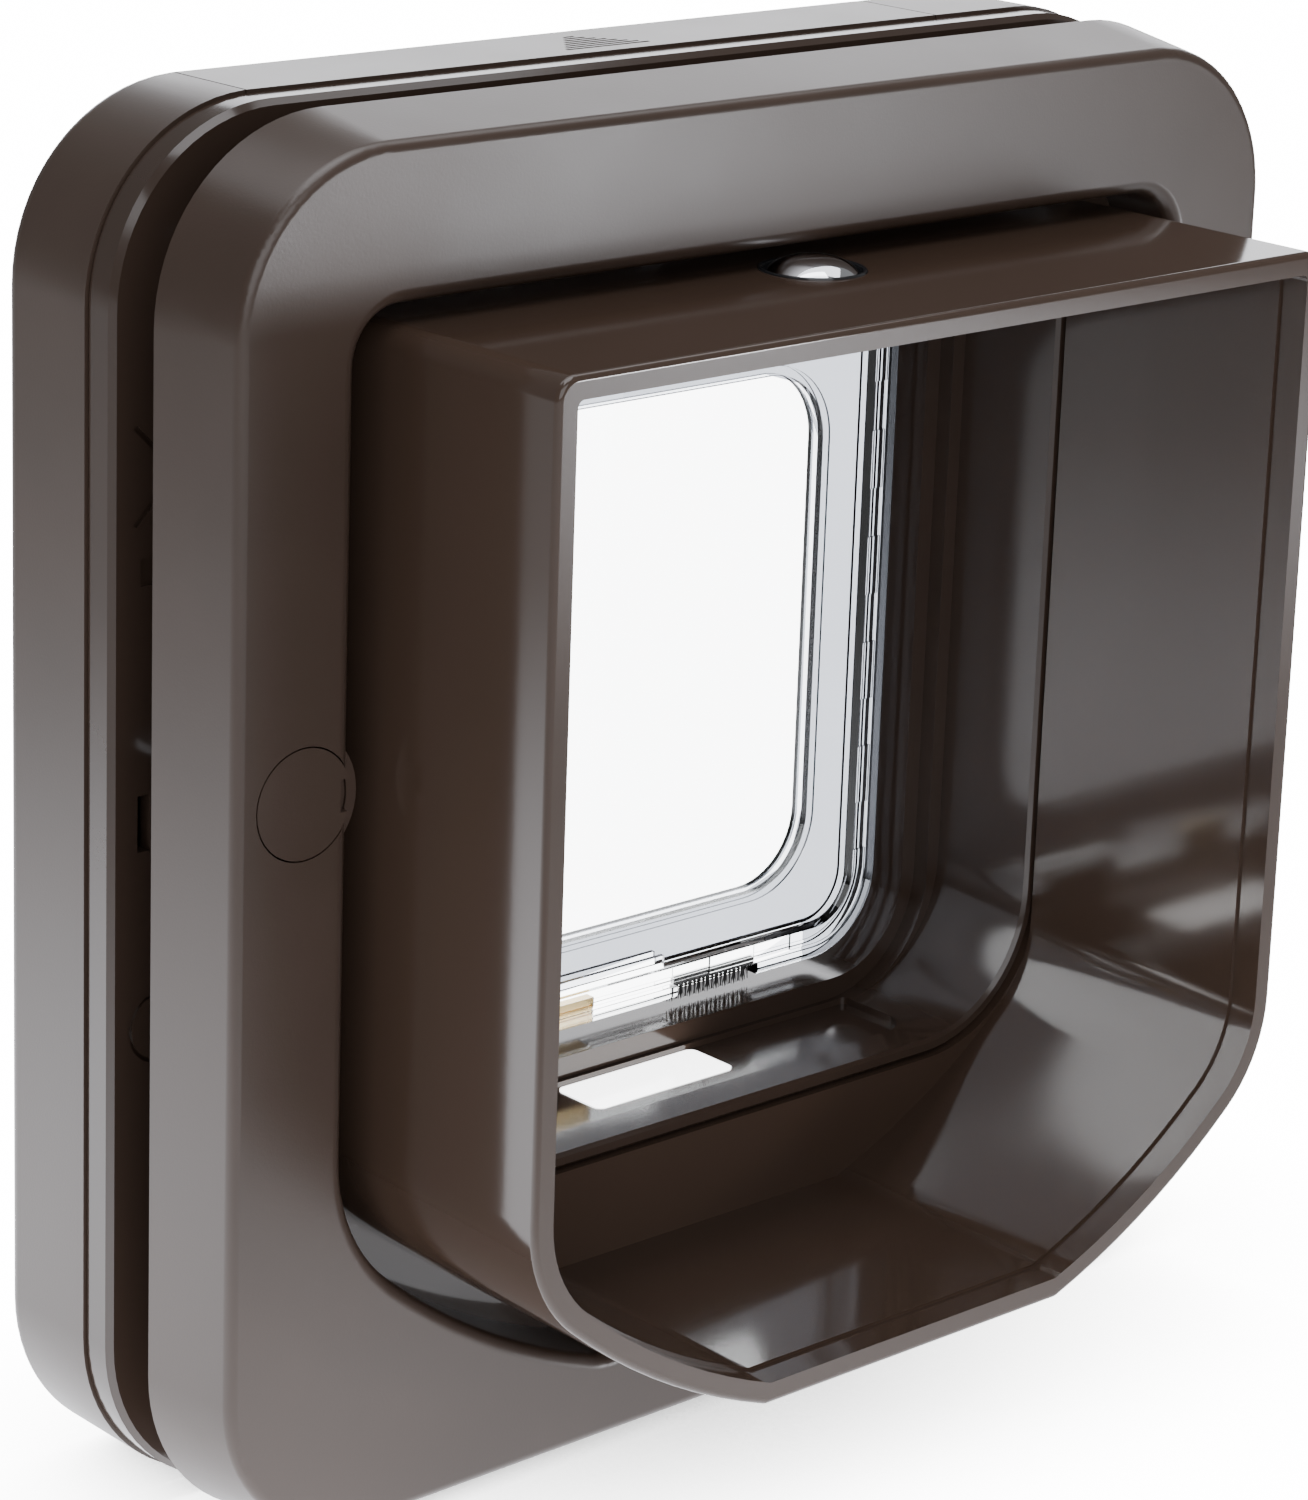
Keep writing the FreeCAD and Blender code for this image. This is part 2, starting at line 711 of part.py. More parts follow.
def make_room_cover():
    """Housing half on the room side: front face with the doorway, battery bay, knob dish,
    button and light holes, and the bosses that the shell screws bite into."""
    body = new_body("room_cover")
    start = seam + size.seam_gap
    add_slab(body, "Y", start, room_face, [frame_points(0)])
    face = room_face.number
    round_edges(body, 3, in_plane("Y", face))
    cut_slab(body, "Y", start, cover_inside, [frame_points(size.skin)])
    cut_slab(body, "Y", cover_inside, room_face, [doorway_points(0.7)])
    round_edges(body, 1, both(in_plane("Y", face), on_outline(doorway_points(0.7))), "Chamfer")
    gap = size.seam_gap
    left, right = -size.cover_left - gap, size.cover_right + gap
    bay = box_points(left, right, size.cover_low - gap, size.frame_tall + 1)
    cut_slab(body, "Y", start, room_face, [bay])
    add_slab(body, "Y", plate_back, cover_inside + 0.4, round_holes(SHELL_SCREWS, 3.8))
    cut_slab(body, "Y", plate_back, plate_back + 14, round_holes(SHELL_SCREWS, 1.37))
    cut_slab(body, "Y", room_face - 1, room_face, [(0, size.knob_height, size.knob_radius + 1.4)])
    cut_slab(body, "Y", cover_inside, room_face, [(0, size.knob_height, 5.0)])
    cut_slab(body, "Y", cover_inside, room_face, [(button_away, button_height, 3.2)])
    cut_slab(body, "Y", cover_inside, room_face, [(button_away, light_height, 1.6)])
    return body


def make_battery_cover():
    """Cover over the batteries, top and front in one piece, with a ribbed slide arrow."""
    body = new_body("battery_cover")
    start = seam + size.seam_gap
    left, right = -size.cover_left, size.cover_right
    top = size.frame_tall
    add_slab(body, "Y", start, room_face, [box_points(left, right, top - size.skin, top)])
    add_slab(body, "Y", cover_inside, room_face, [box_points(left, right, size.cover_low, top - 1)])
    face = room_face.number
    high = both(in_plane("Y", face), in_plane("Z", top.number), longer(60))
    round_edges(body, 3, high)
    ribs = []
    arrow_middle, arrow_half, arrow_long, count = -7.4, 8.3, 10.4, 8
    first = seam.number + 3.4
    for number in range(count):
        reach = arrow_half * (1 - number / count)
        near = first + number * arrow_long / count
        ribs.append(box_points(arrow_middle - reach, arrow_middle + reach, near, near + 0.7))
    cut_slab(body, "Z", top - 0.4, top, ribs)
    hooks = [box_points(x, x + 8, start + 1, start + 5) for x in (left + 4, right - 12)]
    add_slab(body, "Z", top - size.skin - 1.6, top - size.skin, hooks)
    return body


def make_batteries():
    """Two rows of two cells. The rows lie one above the other and point opposite ways."""
    cells = []
    number = 0
    for row, height in enumerate(row_heights):
        for place_in_row in range(2):
            number += 1
            cell = new_body("battery_%d" % number)
            start = row_start + place_in_row * (size.cell_long + 1)
            ring = [(row_back, height, size.cell_radius)]
            nub = [(row_back, height, 2.7)]
            if row == 0:
                add_slab(cell, "X", start, start + size.cell_long, ring)
                add_slab(cell, "X", start + size.cell_long, start + size.cell_long + 1, nub)
            else:
                add_slab(cell, "X", start + 1, start + 1 + size.cell_long, ring)
                add_slab(cell, "X", start, start + 1, nub)
            cells.append(cell)
    return cells


def make_contacts():
    """Sheet metal contacts: one bridges both rows, the other end has one for each row."""
    contacts = []
    low, high = row_heights
    back = row_back
    bridge = new_body("contact_bridge")
    plate = box_points(back - 5, back + 5, low - 5, high + 5)
    add_slab(bridge, "X", row_start - 1, row_start - 0.5, [plate])
    domes = [(back, low, 3), (back, high, 3)]
    add_slab(bridge, "X", row_start - 0.5, row_start, domes)
    contacts.append(bridge)
    for name, height in (("contact_lower", low), ("contact_upper", high)):
        contact = new_body(name)
        plate = box_points(back - 5, back + 5, height - 5, height + 5)
        add_slab(contact, "X", row_end + 0.5, row_end + 1, [plate])
        add_slab(contact, "X", row_end, row_end + 0.5, [(back, height, 3)])
        contacts.append(contact)
    return contacts


def make_electronics():
    """Circuit board behind the button, tag-reading coil round the sleeve, and the motor."""
    board = new_body("circuit_board")
    outline = box_points(button_away - 11.4, button_away + 12, board_low, board_high)
    add_slab(board, "Y", board_back - 1.6, board_back, [outline])
    left, low = button_away - 2, button_height - 2
    add_slab(board, "Y", board_back, board_back + 2, [box_points(left, left + 4, low, low + 4)])
    chip = box_points(button_away - 8, button_away + 2, board_low + 4.5, board_low + 12.5)
    add_slab(board, "Y", board_back, board_back + 1.4, [chip, (button_away, light_height, 1.4)])
    coil = new_body("reader_coil")
    room = sleeve_outside + 0.4
    add_slab(coil, "Y", plate_back, plate_back + 3, [sleeve_points(room + 2.6), sleeve_points(room)])
    motor = new_body("latch_motor")
    add_slab(motor, "X", 21, 41, [(motor_depth, motor_height, motor_radius)])
    cut_slab(motor, "X", 20, 23.6, [(motor_depth, motor_height, 1.06)])
    round_edges(motor, 0.8, both(in_plane("X", 41), longer(30)), "Chamfer")
    return [board, coil, motor]


def make_flap():
    """Clear flap: a thin pane with a bead round it, a shallow trough, and a thick rim with a
    groove and shallow clip gaps, plus the bar for the pins and the block at the foot."""
    body = new_body("flap_door")
    outline = flap_points(0)
    pane = pane_points(0)
    middle = size.flap_middle
    thin = size.pane_thick / 2
    web = thin + 0.5
    half = size.flap_thick / 2
    rim = size.rim_wide
    add_slab(body, "Y", middle - web, middle + web, [outline])
    cut_slab(body, "Y", middle - web, middle - thin, [pane])
    cut_slab(body, "Y", middle + thin, middle + web, [pane])
    add_slab(body, "Y", flap_out, flap_in, [outline, flap_points(-rim)])
    for face in (flap_out.number, flap_in.number):
        round_edges(body, 0.5, both(in_plane("Y", face), on_outline(outline)), "Chamfer")
        inner = both(in_plane("Y", face), on_outline(flap_points(-rim)))
        round_edges(body, size.rim_slope, inner, "Chamfer")
    lift = size.rim_bead_proud
    collar = [pane_points(1.6), pane_points(0)]
    add_slab(body, "Y", middle - web - lift, middle + web + lift, collar)
    groove = [flap_points(-size.groove_in), flap_points(-size.groove_in - size.groove_wide)]
    cut_slab(body, "Y", flap_out, flap_out + size.groove_deep, groove)
    cut_slab(body, "Y", flap_in - size.groove_deep, flap_in, groove)

    # Clip gaps along both sides and the foot of the rim, on the outdoor face
    gaps = []
    near = size.groove_in + size.groove_wide
    far = rim - size.rim_slope
    for number in range(5):
        z = 67 + number * size.clip_pitch
        for side in (-1, 1):
            edge = (size.flap_half - near) * side
            inner = (size.flap_half - far) * side
            gaps.append(box_points(edge, inner, z, z + size.clip_gap))
    low = size.flap_bottom + near
    for x in (-46, -27.8, 18.8, 37):
        gaps.append(box_points(x, x + size.clip_gap, low, size.flap_bottom + far))
    cut_slab(body, "Y", flap_out, flap_out + size.clip_deep, gaps)

    # Bar for the pins, block at the foot, and the slots for magnet and brushes
    bar_low = size.hinge_height - 5
    bar = box_points(-size.flap_half + 2, size.flap_half - 2, bar_low, size.flap_top - 1)
    add_slab(body, "Y", flap_out, flap_in, [bar])
    block = box_points(-17, 17, size.flap_bottom, size.flap_bottom + 8)
    add_slab(body, "Y", middle - half + 0.3, middle + half - 0.3, [block])
    pins = (middle, size.hinge_height, size.pin_radius)
    pin_start = size.flap_half + size.pin_out - size.pin_long
    for start, end in ((-size.flap_half - 1, -pin_start), (pin_start, size.flap_half + 1)):
        cut_slab(body, "X", start, end, [pins])
    magnet = box_points(-10.1, 2.1, middle - 1.6, middle + 1.6)
    cut_slab(body, "Z", size.flap_bottom - 1, size.flap_bottom + 4.1, [magnet])
    slots = [box_points(x, x + 18, middle - 0.9, middle + 0.9) for x in (-38, 20)]
    cut_slab(body, "Z", size.flap_bottom - 1, size.flap_bottom + 3, slots)
    windows = [box_points(x, x + 18, size.flap_bottom, size.flap_bottom + 2) for x in (-38, 20)]
    cut_slab(body, "Y", flap_out, middle, windows)
    return body


def make_flap_fittings():
    """Pins, magnet and two short brushes that ride in the flap."""
    middle = size.flap_middle
    pins = []
    end = size.flap_half + size.pin_out
    round_bar = [(middle, size.hinge_height, size.pin_radius)]
    for name, start in (("hinge_pin_left", -end), ("hinge_pin_right", end - size.pin_long)):
        pin = new_body(name)
        add_slab(pin, "X", start, start + size.pin_long, round_bar)
        pins.append(pin)
    magnet = new_body("flap_magnet")
    low = size.flap_bottom + 0.1
    add_slab(magnet, "Z", low, low + 4, [box_points(-10, 2, middle - 1.5, middle + 1.5)])
    brushes = []
    for name, x in (("brush_left", -38), ("brush_right", 20)):
        brush = new_body(name)
        strip = box_points(x + 0.1, x + 17.9, middle - 0.8, middle + 0.8)
        add_slab(brush, "Z", size.flap_bottom - 1.6, size.flap_bottom + 3, [strip])
        brushes.append(brush)
    keeper = new_body("sill_magnet")
    low = size.door_bottom - 2.2
    add_slab(keeper, "Z", low - 4, low, [box_points(-10, 2, middle - 2, middle + 2)])
    return pins + [magnet] + brushes + [keeper]


def make_latches():
    """Two rising latches: one stops the flap outwards, the other stops it inwards."""
    half = size.latch_wide / 2
    out_latch = new_body("latch_outward")
    x = -size.latch_away
    top = size.door_bottom - 1
    add_slab(out_latch, "Y", latch_out_start, latch_out_end, [box_points(x - half, x + half, 27, top)])
    add_slab(out_latch, "Y", latch_out_end, latch_out_end + 3, [box_points(x + 1, x + half, 33, 36)])
    in_latch = new_body("latch_inward")
    x = size.latch_away
    add_slab(in_latch, "Y", latch_in_start, latch_in_end, [box_points(x - half, x + half, 35, top)])
    add_slab(in_latch, "Y", motor_depth - 0.6, latch_in_end, [box_points(x - 3, x + 3, 35, 37)])
    foot = motor_height + cam_least + 0.4
    add_slab(in_latch, "Y", motor_depth - 0.6, motor_depth + 0.6, [box_points(x - 3, x + 3, foot, 37)])
    return [out_latch, in_latch]


def make_motor_cam():
    """Snail cam on the motor's shaft: its radius grows evenly with the angle."""
    cam = doc.addObject("Part::Feature", "motor_cam")
    cam.Label = "motor_cam"
    points = []
    steps = 12
    for number in range(steps + 1):
        turned = cam_turn * number / steps
        radius = cam_least.number + cam_lift.number * number / steps
        angle = math.radians(turned)
        points.append(V(0, -radius * math.sin(angle), radius * math.cos(angle)))
    rise = Part.BSplineCurve()
    rise.interpolate(points)
    last = points[-1]
    small = cam_least.number
    back_angle = math.radians(cam_turn + 40)
    back = V(0, -small * math.sin(back_angle), small * math.cos(back_angle))
    drop = Part.LineSegment(last, back)
    middle_angle = math.radians((cam_turn + 40 + 360) / 2)
    mid = V(0, -small * math.sin(middle_angle), small * math.cos(middle_angle))
    base = Part.Arc(back, mid, points[0])
    outline = Part.Wire([rise.toShape(), drop.toShape(), base.toShape()])
    start = size.latch_away.number - 2.6
    disc = Part.Face(outline).extrude(V(5.2, 0, 0))
    disc.translate(V(start, 0, 0))
    shaft = Part.makeCylinder(1.0, 23.3 - start - 1, V(start + 1, 0, 0), V(1, 0, 0))
    solid = disc.fuse(shaft).removeSplitter()
    solid.translate(V(0, motor_depth.number, motor_height.number))
    cam.Shape = solid
    return cam


def make_knob():
    """Four-way lock knob with a grip bar, its shaft through the cover and a lobe inside."""
    knob = new_body("lock_knob")
    z = size.knob_height
    dish = room_face - 1
    add_slab(knob, "Y", dish + 0.3, room_face + 3, [(0, z, size.knob_radius)])
    round_edges(knob, 0.8, in_plane("Y", (room_face + 3).number), "Chamfer")
    grip = round_points(-2.6, 2.6, z - 11.4, z + 11.4, 2, 2)
    add_slab(knob, "Y", room_face + 2.5, room_face + 6.5, [grip])
    add_slab(knob, "Y", cover_inside - 4.4, dish + 0.5, [(0, z, 4.94)])
    add_slab(knob, "Y", cover_inside - 4.4, cover_inside - 2, [(0, z, 8)])
    return knob


def make_controls():
    """Settings button with its collar behind the cover, and the status light's lens."""
    button = new_body("settings_button")
    add_slab(button, "Y", board_back + 3.4, room_face + 0.5, [(button_away, button_height, 3.0)])
    round_edges(button, 0.3, in_plane("Y", (room_face + 0.5).number), "Chamfer")
    add_slab(button, "Y", cover_inside - 1.8, cover_inside - 0.4, [(button_away, button_height, 4.2)])
    light = new_body("status_light")
    add_slab(light, "Y", cover_inside - 1.2, room_face + 0.2, [(button_away, light_height, 1.55)])
    add_slab(light, "Y", cover_inside - 1.2, cover_inside, [(button_away, light_height, 2.4)])
    return [button, light]


def make_label():
    """Blank white label on the tray floor."""
    label = new_body("blank_label")
    middle, half = 3.6, 14.6
    start = 9.8
    outline = round_points(middle - half, middle + half, start, start + 10.5, 1.5, 1.5)
    add_slab(label, "Z", tray_floor, tray_floor + 0.2, [outline])
    return label


made = [make_outer_surround(), make_outer_tunnel()]
made += make_sensor()
made += make_screw_caps()
head_start = well_floor - size.head_tall
clamp_parts = [(head_start, well_floor, size.head_radius)]
clamp_parts.append((well_floor - 0.5, plate_back + 12, size.screw_radius))
made.append(make_screws("clamp_screws", [(x, size.cap_height) for x in cap_places], clamp_parts))
made.append(make_screws("flange_screws", FLANGE_SCREWS, [(-1.6, -0.1, 2.9), (-10.8, -0.6, 1.3)]))
shell_head = plate_front + 1.5
shell_parts = [(plate_front + 0.1, shell_head, 2.9), (plate_front + 0.6, plate_back + 13, 1.35)]
made.append(make_screws("shell_screws", SHELL_SCREWS, shell_parts))
made += [make_rear_shell(), make_room_cover(), make_battery_cover()]
made += make_batteries()
made += make_contacts()
made += make_electronics()
made.append(make_flap())
made += make_flap_fittings()
made += make_latches()
made.append(make_motor_cam())
made.append(make_knob())
made += make_controls()
made.append(make_label())
doc.recompute()

faults = [o.Label for o in doc.Objects if "Invalid" in o.State or "Error" in o.State]
faults += [o.Label for o in made if o.Shape.isNull() or not o.Shape.isValid()]
if faults:
    raise RuntimeError("not sound: " + ", ".join(faults))
for piece in made:
    if len(piece.Shape.Solids) != (1 if piece.TypeId != "Part::Compound" else len(piece.Links)):
        raise RuntimeError("%s has %d solids" % (piece.Label, len(piece.Shape.Solids)))
    piece.Shape.exportStep("parts/%s.step" % piece.Label)
print("wrote", len(made), "parts")
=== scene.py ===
# Powered cat flap for a door, seen from outdoors, in the order in which it goes together.
# Metres. X runs to the right, Y from outdoors into the room, Z up. The door panel would
# stand between the two frames, with its outdoor face at y = 0.
import bpy
import json
import math
import random
from mathutils import Matrix, Vector

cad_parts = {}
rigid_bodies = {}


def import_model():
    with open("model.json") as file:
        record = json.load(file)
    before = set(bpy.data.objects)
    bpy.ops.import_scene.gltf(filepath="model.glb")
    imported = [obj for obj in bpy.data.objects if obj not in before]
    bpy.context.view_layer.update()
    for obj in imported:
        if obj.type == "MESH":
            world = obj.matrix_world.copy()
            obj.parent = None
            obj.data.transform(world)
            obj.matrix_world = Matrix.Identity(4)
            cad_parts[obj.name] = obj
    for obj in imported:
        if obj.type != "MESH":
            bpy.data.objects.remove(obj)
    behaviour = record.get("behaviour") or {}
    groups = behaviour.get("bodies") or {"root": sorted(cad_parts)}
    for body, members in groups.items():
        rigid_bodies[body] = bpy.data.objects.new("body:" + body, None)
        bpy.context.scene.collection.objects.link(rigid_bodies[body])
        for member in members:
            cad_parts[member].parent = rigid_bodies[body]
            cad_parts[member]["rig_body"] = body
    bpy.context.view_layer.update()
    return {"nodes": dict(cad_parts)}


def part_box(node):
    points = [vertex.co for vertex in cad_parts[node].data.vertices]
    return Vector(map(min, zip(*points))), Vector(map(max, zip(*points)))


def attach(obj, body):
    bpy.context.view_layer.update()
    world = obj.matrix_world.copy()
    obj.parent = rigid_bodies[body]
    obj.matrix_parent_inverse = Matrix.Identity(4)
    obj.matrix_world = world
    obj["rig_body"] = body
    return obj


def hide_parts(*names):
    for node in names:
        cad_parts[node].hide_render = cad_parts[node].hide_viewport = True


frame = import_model()
bpy.ops.object.select_all(action="DESELECT")

# The floor: a wide pale sheet of studio card. The lens sees it as bright as the backdrop,
# with a painted soft shade close under the object, and it lights the object as plain card does.
# Three round pools of painted light glow in the card itself, and they look dimmer through the clear flap.
backdrop_glow = 16.0


def clear_view(nodes, links, path):
    """One where the lens looks straight at a point, or through clear plastic, and else nought."""
    through = nodes.new("ShaderNodeMath")
    through.operation = "MAXIMUM"
    links.new(path.outputs["Is Camera Ray"], through.inputs[0])
    links.new(path.outputs["Is Transmission Ray"], through.inputs[1])
    bounced = nodes.new("ShaderNodeMath")
    bounced.operation = "ADD"
    links.new(path.outputs["Glossy Depth"], bounced.inputs[0])
    links.new(path.outputs["Diffuse Depth"], bounced.inputs[1])
    straight = nodes.new("ShaderNodeMath")
    straight.operation = "LESS_THAN"
    straight.inputs[1].default_value = 0.5
    links.new(bounced.outputs["Value"], straight.inputs[0])
    view = nodes.new("ShaderNodeMath")
    view.operation = "MULTIPLY"
    links.new(through.outputs["Value"], view.inputs[0])
    links.new(straight.outputs["Value"], view.inputs[1])
    return view


bpy.ops.mesh.primitive_plane_add(size=1.0, location=(0, 0, 0))
floor = bpy.context.object
floor.name = "studio_floor"
bpy.ops.object.mode_set(mode="EDIT")
bpy.ops.mesh.select_all(action="SELECT")
bpy.ops.transform.resize(value=(24, 24, 1))
bpy.ops.mesh.subdivide(number_cuts=3)
bpy.ops.object.mode_set(mode="OBJECT")
floor_card = bpy.data.materials.new("pale_card")
floor_card.use_nodes = True
card_nodes = floor_card.node_tree.nodes
card_links = floor_card.node_tree.links
card_shader = card_nodes["Principled BSDF"]
card_shader.inputs["Roughness"].default_value = 0.85
card_shader.inputs["Specular IOR Level"].default_value = 0.2
card_place = card_nodes.new("ShaderNodeTexCoord")
card_fibre = card_nodes.new("ShaderNodeTexNoise")
card_fibre.inputs["Scale"].default_value = 9.0
card_tone = card_nodes.new("ShaderNodeMapRange")
card_tone.inputs["To Min"].default_value = 0.86
card_tone.inputs["To Max"].default_value = 0.92
card_links.new(card_place.outputs["Object"], card_fibre.inputs["Vector"])
card_links.new(card_fibre.outputs["Fac"], card_tone.inputs["Value"])
card_links.new(card_tone.outputs["Result"], card_shader.inputs["Base Color"])
pool_loss_through = 0.65


def painted_pool(middle, reach, glow):
    """A round pool of painted light, a glow in the card, which fades out at its reach."""
    away = card_nodes.new("ShaderNodeVectorMath")
    away.operation = "DISTANCE"
    away.inputs[1].default_value = (*middle, 0)
    fade = card_nodes.new("ShaderNodeMapRange")
    fade.interpolation_type = "SMOOTHSTEP"
    fade.inputs["From Min"].default_value = reach
    fade.inputs["From Max"].default_value = 0.0
    fade.inputs["To Max"].default_value = glow
    card_links.new(card_place.outputs["Object"], away.inputs[0])
    card_links.new(away.outputs["Value"], fade.inputs["Value"])
    return fade


# Painted light: three glowing pools in the card, which light the object but which the lens doesn't see.
card_pools = card_nodes.new("ShaderNodeMath")
card_pools.operation = "ADD"
card_front = card_nodes.new("ShaderNodeMath")
card_front.operation = "ADD"
card_links.new(painted_pool((0.0, -0.10), 0.30, 0.8).outputs["Result"], card_front.inputs[0])
card_links.new(painted_pool((0.45, -0.56), 0.34, 3.6).outputs["Result"], card_front.inputs[1])
card_links.new(painted_pool((-0.20, 0.11), 0.38, 3.6).outputs["Result"], card_pools.inputs[0])
card_links.new(card_front.outputs["Value"], card_pools.inputs[1])
card_shader.inputs["Emission Color"].default_value = (0.93, 0.95, 1.0, 1)
# Painted shade: the glow that the lens sees is darkened close under the object.
card_shade = card_nodes.new("ShaderNodeAmbientOcclusion")
card_shade.inputs["Distance"].default_value = 0.05
card_shade.samples = 8
card_depth = card_nodes.new("ShaderNodeMath")
card_depth.operation = "POWER"
card_depth.inputs[1].default_value = 0.9
card_glow = card_nodes.new("ShaderNodeEmission")
card_strength = card_nodes.new("ShaderNodeMath")
card_strength.operation = "MULTIPLY"
card_strength.inputs[1].default_value = backdrop_glow
card_seen = card_nodes.new("ShaderNodeLightPath")
card_through = card_nodes.new("ShaderNodeMath")
card_through.operation = "MULTIPLY_ADD"
card_through.inputs[1].default_value = -pool_loss_through
card_through.inputs[2].default_value = 1.0
card_links.new(card_seen.outputs["Is Transmission Ray"], card_through.inputs[0])
card_painted_glow = card_nodes.new("ShaderNodeMath")
card_painted_glow.operation = "MULTIPLY"
card_links.new(card_pools.outputs["Value"], card_painted_glow.inputs[0])
card_links.new(card_through.outputs["Value"], card_painted_glow.inputs[1])
card_links.new(card_painted_glow.outputs["Value"], card_shader.inputs["Emission Strength"])
card_mix = card_nodes.new("ShaderNodeMixShader")
card_links.new(card_shade.outputs["AO"], card_depth.inputs[0])
card_links.new(card_depth.outputs["Value"], card_strength.inputs[0])
card_links.new(card_strength.outputs["Value"], card_glow.inputs["Strength"])
card_view = clear_view(card_nodes, card_links, card_seen)
card_links.new(card_view.outputs["Value"], card_mix.inputs["Fac"])
card_links.new(card_shader.outputs["BSDF"], card_mix.inputs[1])
card_links.new(card_glow.outputs["Emission"], card_mix.inputs[2])
card_links.new(card_mix.outputs["Shader"], card_nodes["Material Output"].inputs["Surface"])
floor.data.materials.append(floor_card)

# The camera: a long lens, well back, from the front left and a little above.
view_from = Vector((-0.4641, -0.4967, 0.3203))
yaw, pitch, roll = 0.738, 0.267, 0.035
ahead = Vector((math.sin(yaw) * math.cos(pitch), math.cos(yaw) * math.cos(pitch), -math.sin(pitch)))
level = Vector((math.cos(yaw), -math.sin(yaw), 0))
upright = level.cross(ahead)
right = level * math.cos(roll) + upright * math.sin(roll)
up = upright * math.cos(roll) - level * math.sin(roll)
lens_turn = Matrix((right, up, -ahead)).transposed().to_4x4()
camera = bpy.data.objects.new("camera", bpy.data.cameras.new("camera"))
camera.matrix_world = Matrix.Translation(view_from) @ lens_turn
camera.data.sensor_width = 36.0
camera.data.lens = 110.935
camera.data.shift_y = -200 / 1500
camera.data.clip_start = 0.01
camera.data.clip_end = 60
bpy.context.scene.collection.objects.link(camera)
bpy.context.scene.camera = camera

# The light: a dim room, bright only where the lens, or what shows through the clear flap,
# looks at it. Five soft panels stand behind, above, in front, low on the right and over
# the hood, and the lens doesn't see them.
world = bpy.data.worlds.new("white_room")
world.use_nodes = True
bpy.context.scene.world = world
room_nodes = world.node_tree.nodes
room_links = world.node_tree.links
room_light = room_nodes["Background"]
room_light.inputs["Color"].default_value = (0.97, 0.985, 1.0, 1)
room_glow = room_nodes.new("ShaderNodeMath")
room_glow.operation = "MULTIPLY_ADD"
room_glow.inputs[1].default_value = 5.0
room_glow.inputs[2].default_value = 0.25
backdrop = room_nodes.new("ShaderNodeBackground")
backdrop.inputs["Color"].default_value = (1, 1, 1, 1)
backdrop.inputs["Strength"].default_value = backdrop_glow
seen = room_nodes.new("ShaderNodeLightPath")
room_links.new(seen.outputs["Is Transmission Ray"], room_glow.inputs[0])
room_links.new(room_glow.outputs["Value"], room_light.inputs["Strength"])
seen_clear = clear_view(room_nodes, room_links, seen)
choice = room_nodes.new("ShaderNodeMixShader")
room_links.new(seen_clear.outputs["Value"], choice.inputs["Fac"])
room_links.new(room_light.outputs["Background"], choice.inputs[1])
room_links.new(backdrop.outputs["Background"], choice.inputs[2])
room_links.new(choice.outputs["Shader"], room_nodes["World Output"].inputs["Surface"])


def soft_panel(name, place, aim, width, tall, glow):
    """A soft panel light that faces a point on the object, as bright all over as glow."""
    lamp = bpy.data.lights.new(name, "AREA")
    lamp.shape = "RECTANGLE"
    lamp.size = width
    lamp.size_y = tall
    lamp.energy = glow * math.pi * width * tall
    lamp.color = (0.96, 0.965, 1.0)
    holder = bpy.data.objects.new(name, lamp)
    holder.location = place
    holder.rotation_euler = (Vector(aim) - Vector(place)).to_track_quat("-Z", "Y").to_euler()
    holder.visible_camera = False
    holder.visible_transmission = False
    bpy.context.scene.collection.objects.link(holder)
    return holder


soft_panel("panel_behind", (1.1, 1.3, 0.62), (0, 0, 0.2), 1.8, 0.8, 3.4)
soft_panel("panel_above", (-0.1, -0.3, 1.4), (0, 0, 0.1), 0.9, 0.9, 4.2)
soft_panel("panel_front", (-0.7, -1.5, 0.8), (0, 0, 0.1), 1.6, 1.2, 2.5)
soft_panel("panel_low_right", (0.60, -0.80, 0.05), (0, 0, 0.14), 0.11, 0.22, 42)
soft_panel("panel_overhead", (0.06, 0.12, 0.80), (0, -0.02, 0.18), 1.0, 0.40, 2.2)


# The outdoor surround: one moulding in dark brown plastic with a fine satin grain. Its rim
# leans in towards the front and its opening is softly rounded where the hood comes through.
def build_grain_group():
    """Fine moulded grain as a node group: a slow drift of tone, a roughness and a height."""
    group = bpy.data.node_groups.new("moulded_grain", "ShaderNodeTree")
    face = group.interface
    for name, value in (("Fineness", 2400.0), ("Drift", 26.0), ("Low", 0.3), ("High", 0.4)):
        socket = face.new_socket(name, in_out="INPUT", socket_type="NodeSocketFloat")
        socket.default_value = value
    for name in ("Tone", "Roughness", "Height"):
        face.new_socket(name, in_out="OUTPUT", socket_type="NodeSocketFloat")
    into = group.nodes.new("NodeGroupInput")
    out = group.nodes.new("NodeGroupOutput")
    place = group.nodes.new("ShaderNodeTexCoord")
    fine = group.nodes.new("ShaderNodeTexNoise")
    fine.inputs["Detail"].default_value = 2.0
    drift = group.nodes.new("ShaderNodeTexNoise")
    drift.inputs["Detail"].default_value = 3.0
    shine = group.nodes.new("ShaderNodeMapRange")
    shine.inputs["From Min"].default_value = 0.3
    shine.inputs["From Max"].default_value = 0.7
    links = group.links
    links.new(place.outputs["Object"], fine.inputs["Vector"])
    links.new(place.outputs["Object"], drift.inputs["Vector"])
    links.new(into.outputs["Fineness"], fine.inputs["Scale"])
    links.new(into.outputs["Drift"], drift.inputs["Scale"])
    links.new(drift.outputs["Fac"], shine.inputs["Value"])
    links.new(into.outputs["Low"], shine.inputs["To Min"])
    links.new(into.outputs["High"], shine.inputs["To Max"])
    links.new(drift.outputs["Fac"], out.inputs["Tone"])
    links.new(shine.outputs["Result"], out.inputs["Roughness"])
    links.new(fine.outputs["Fac"], out.inputs["Height"])
    return group


grain_group = build_grain_group()


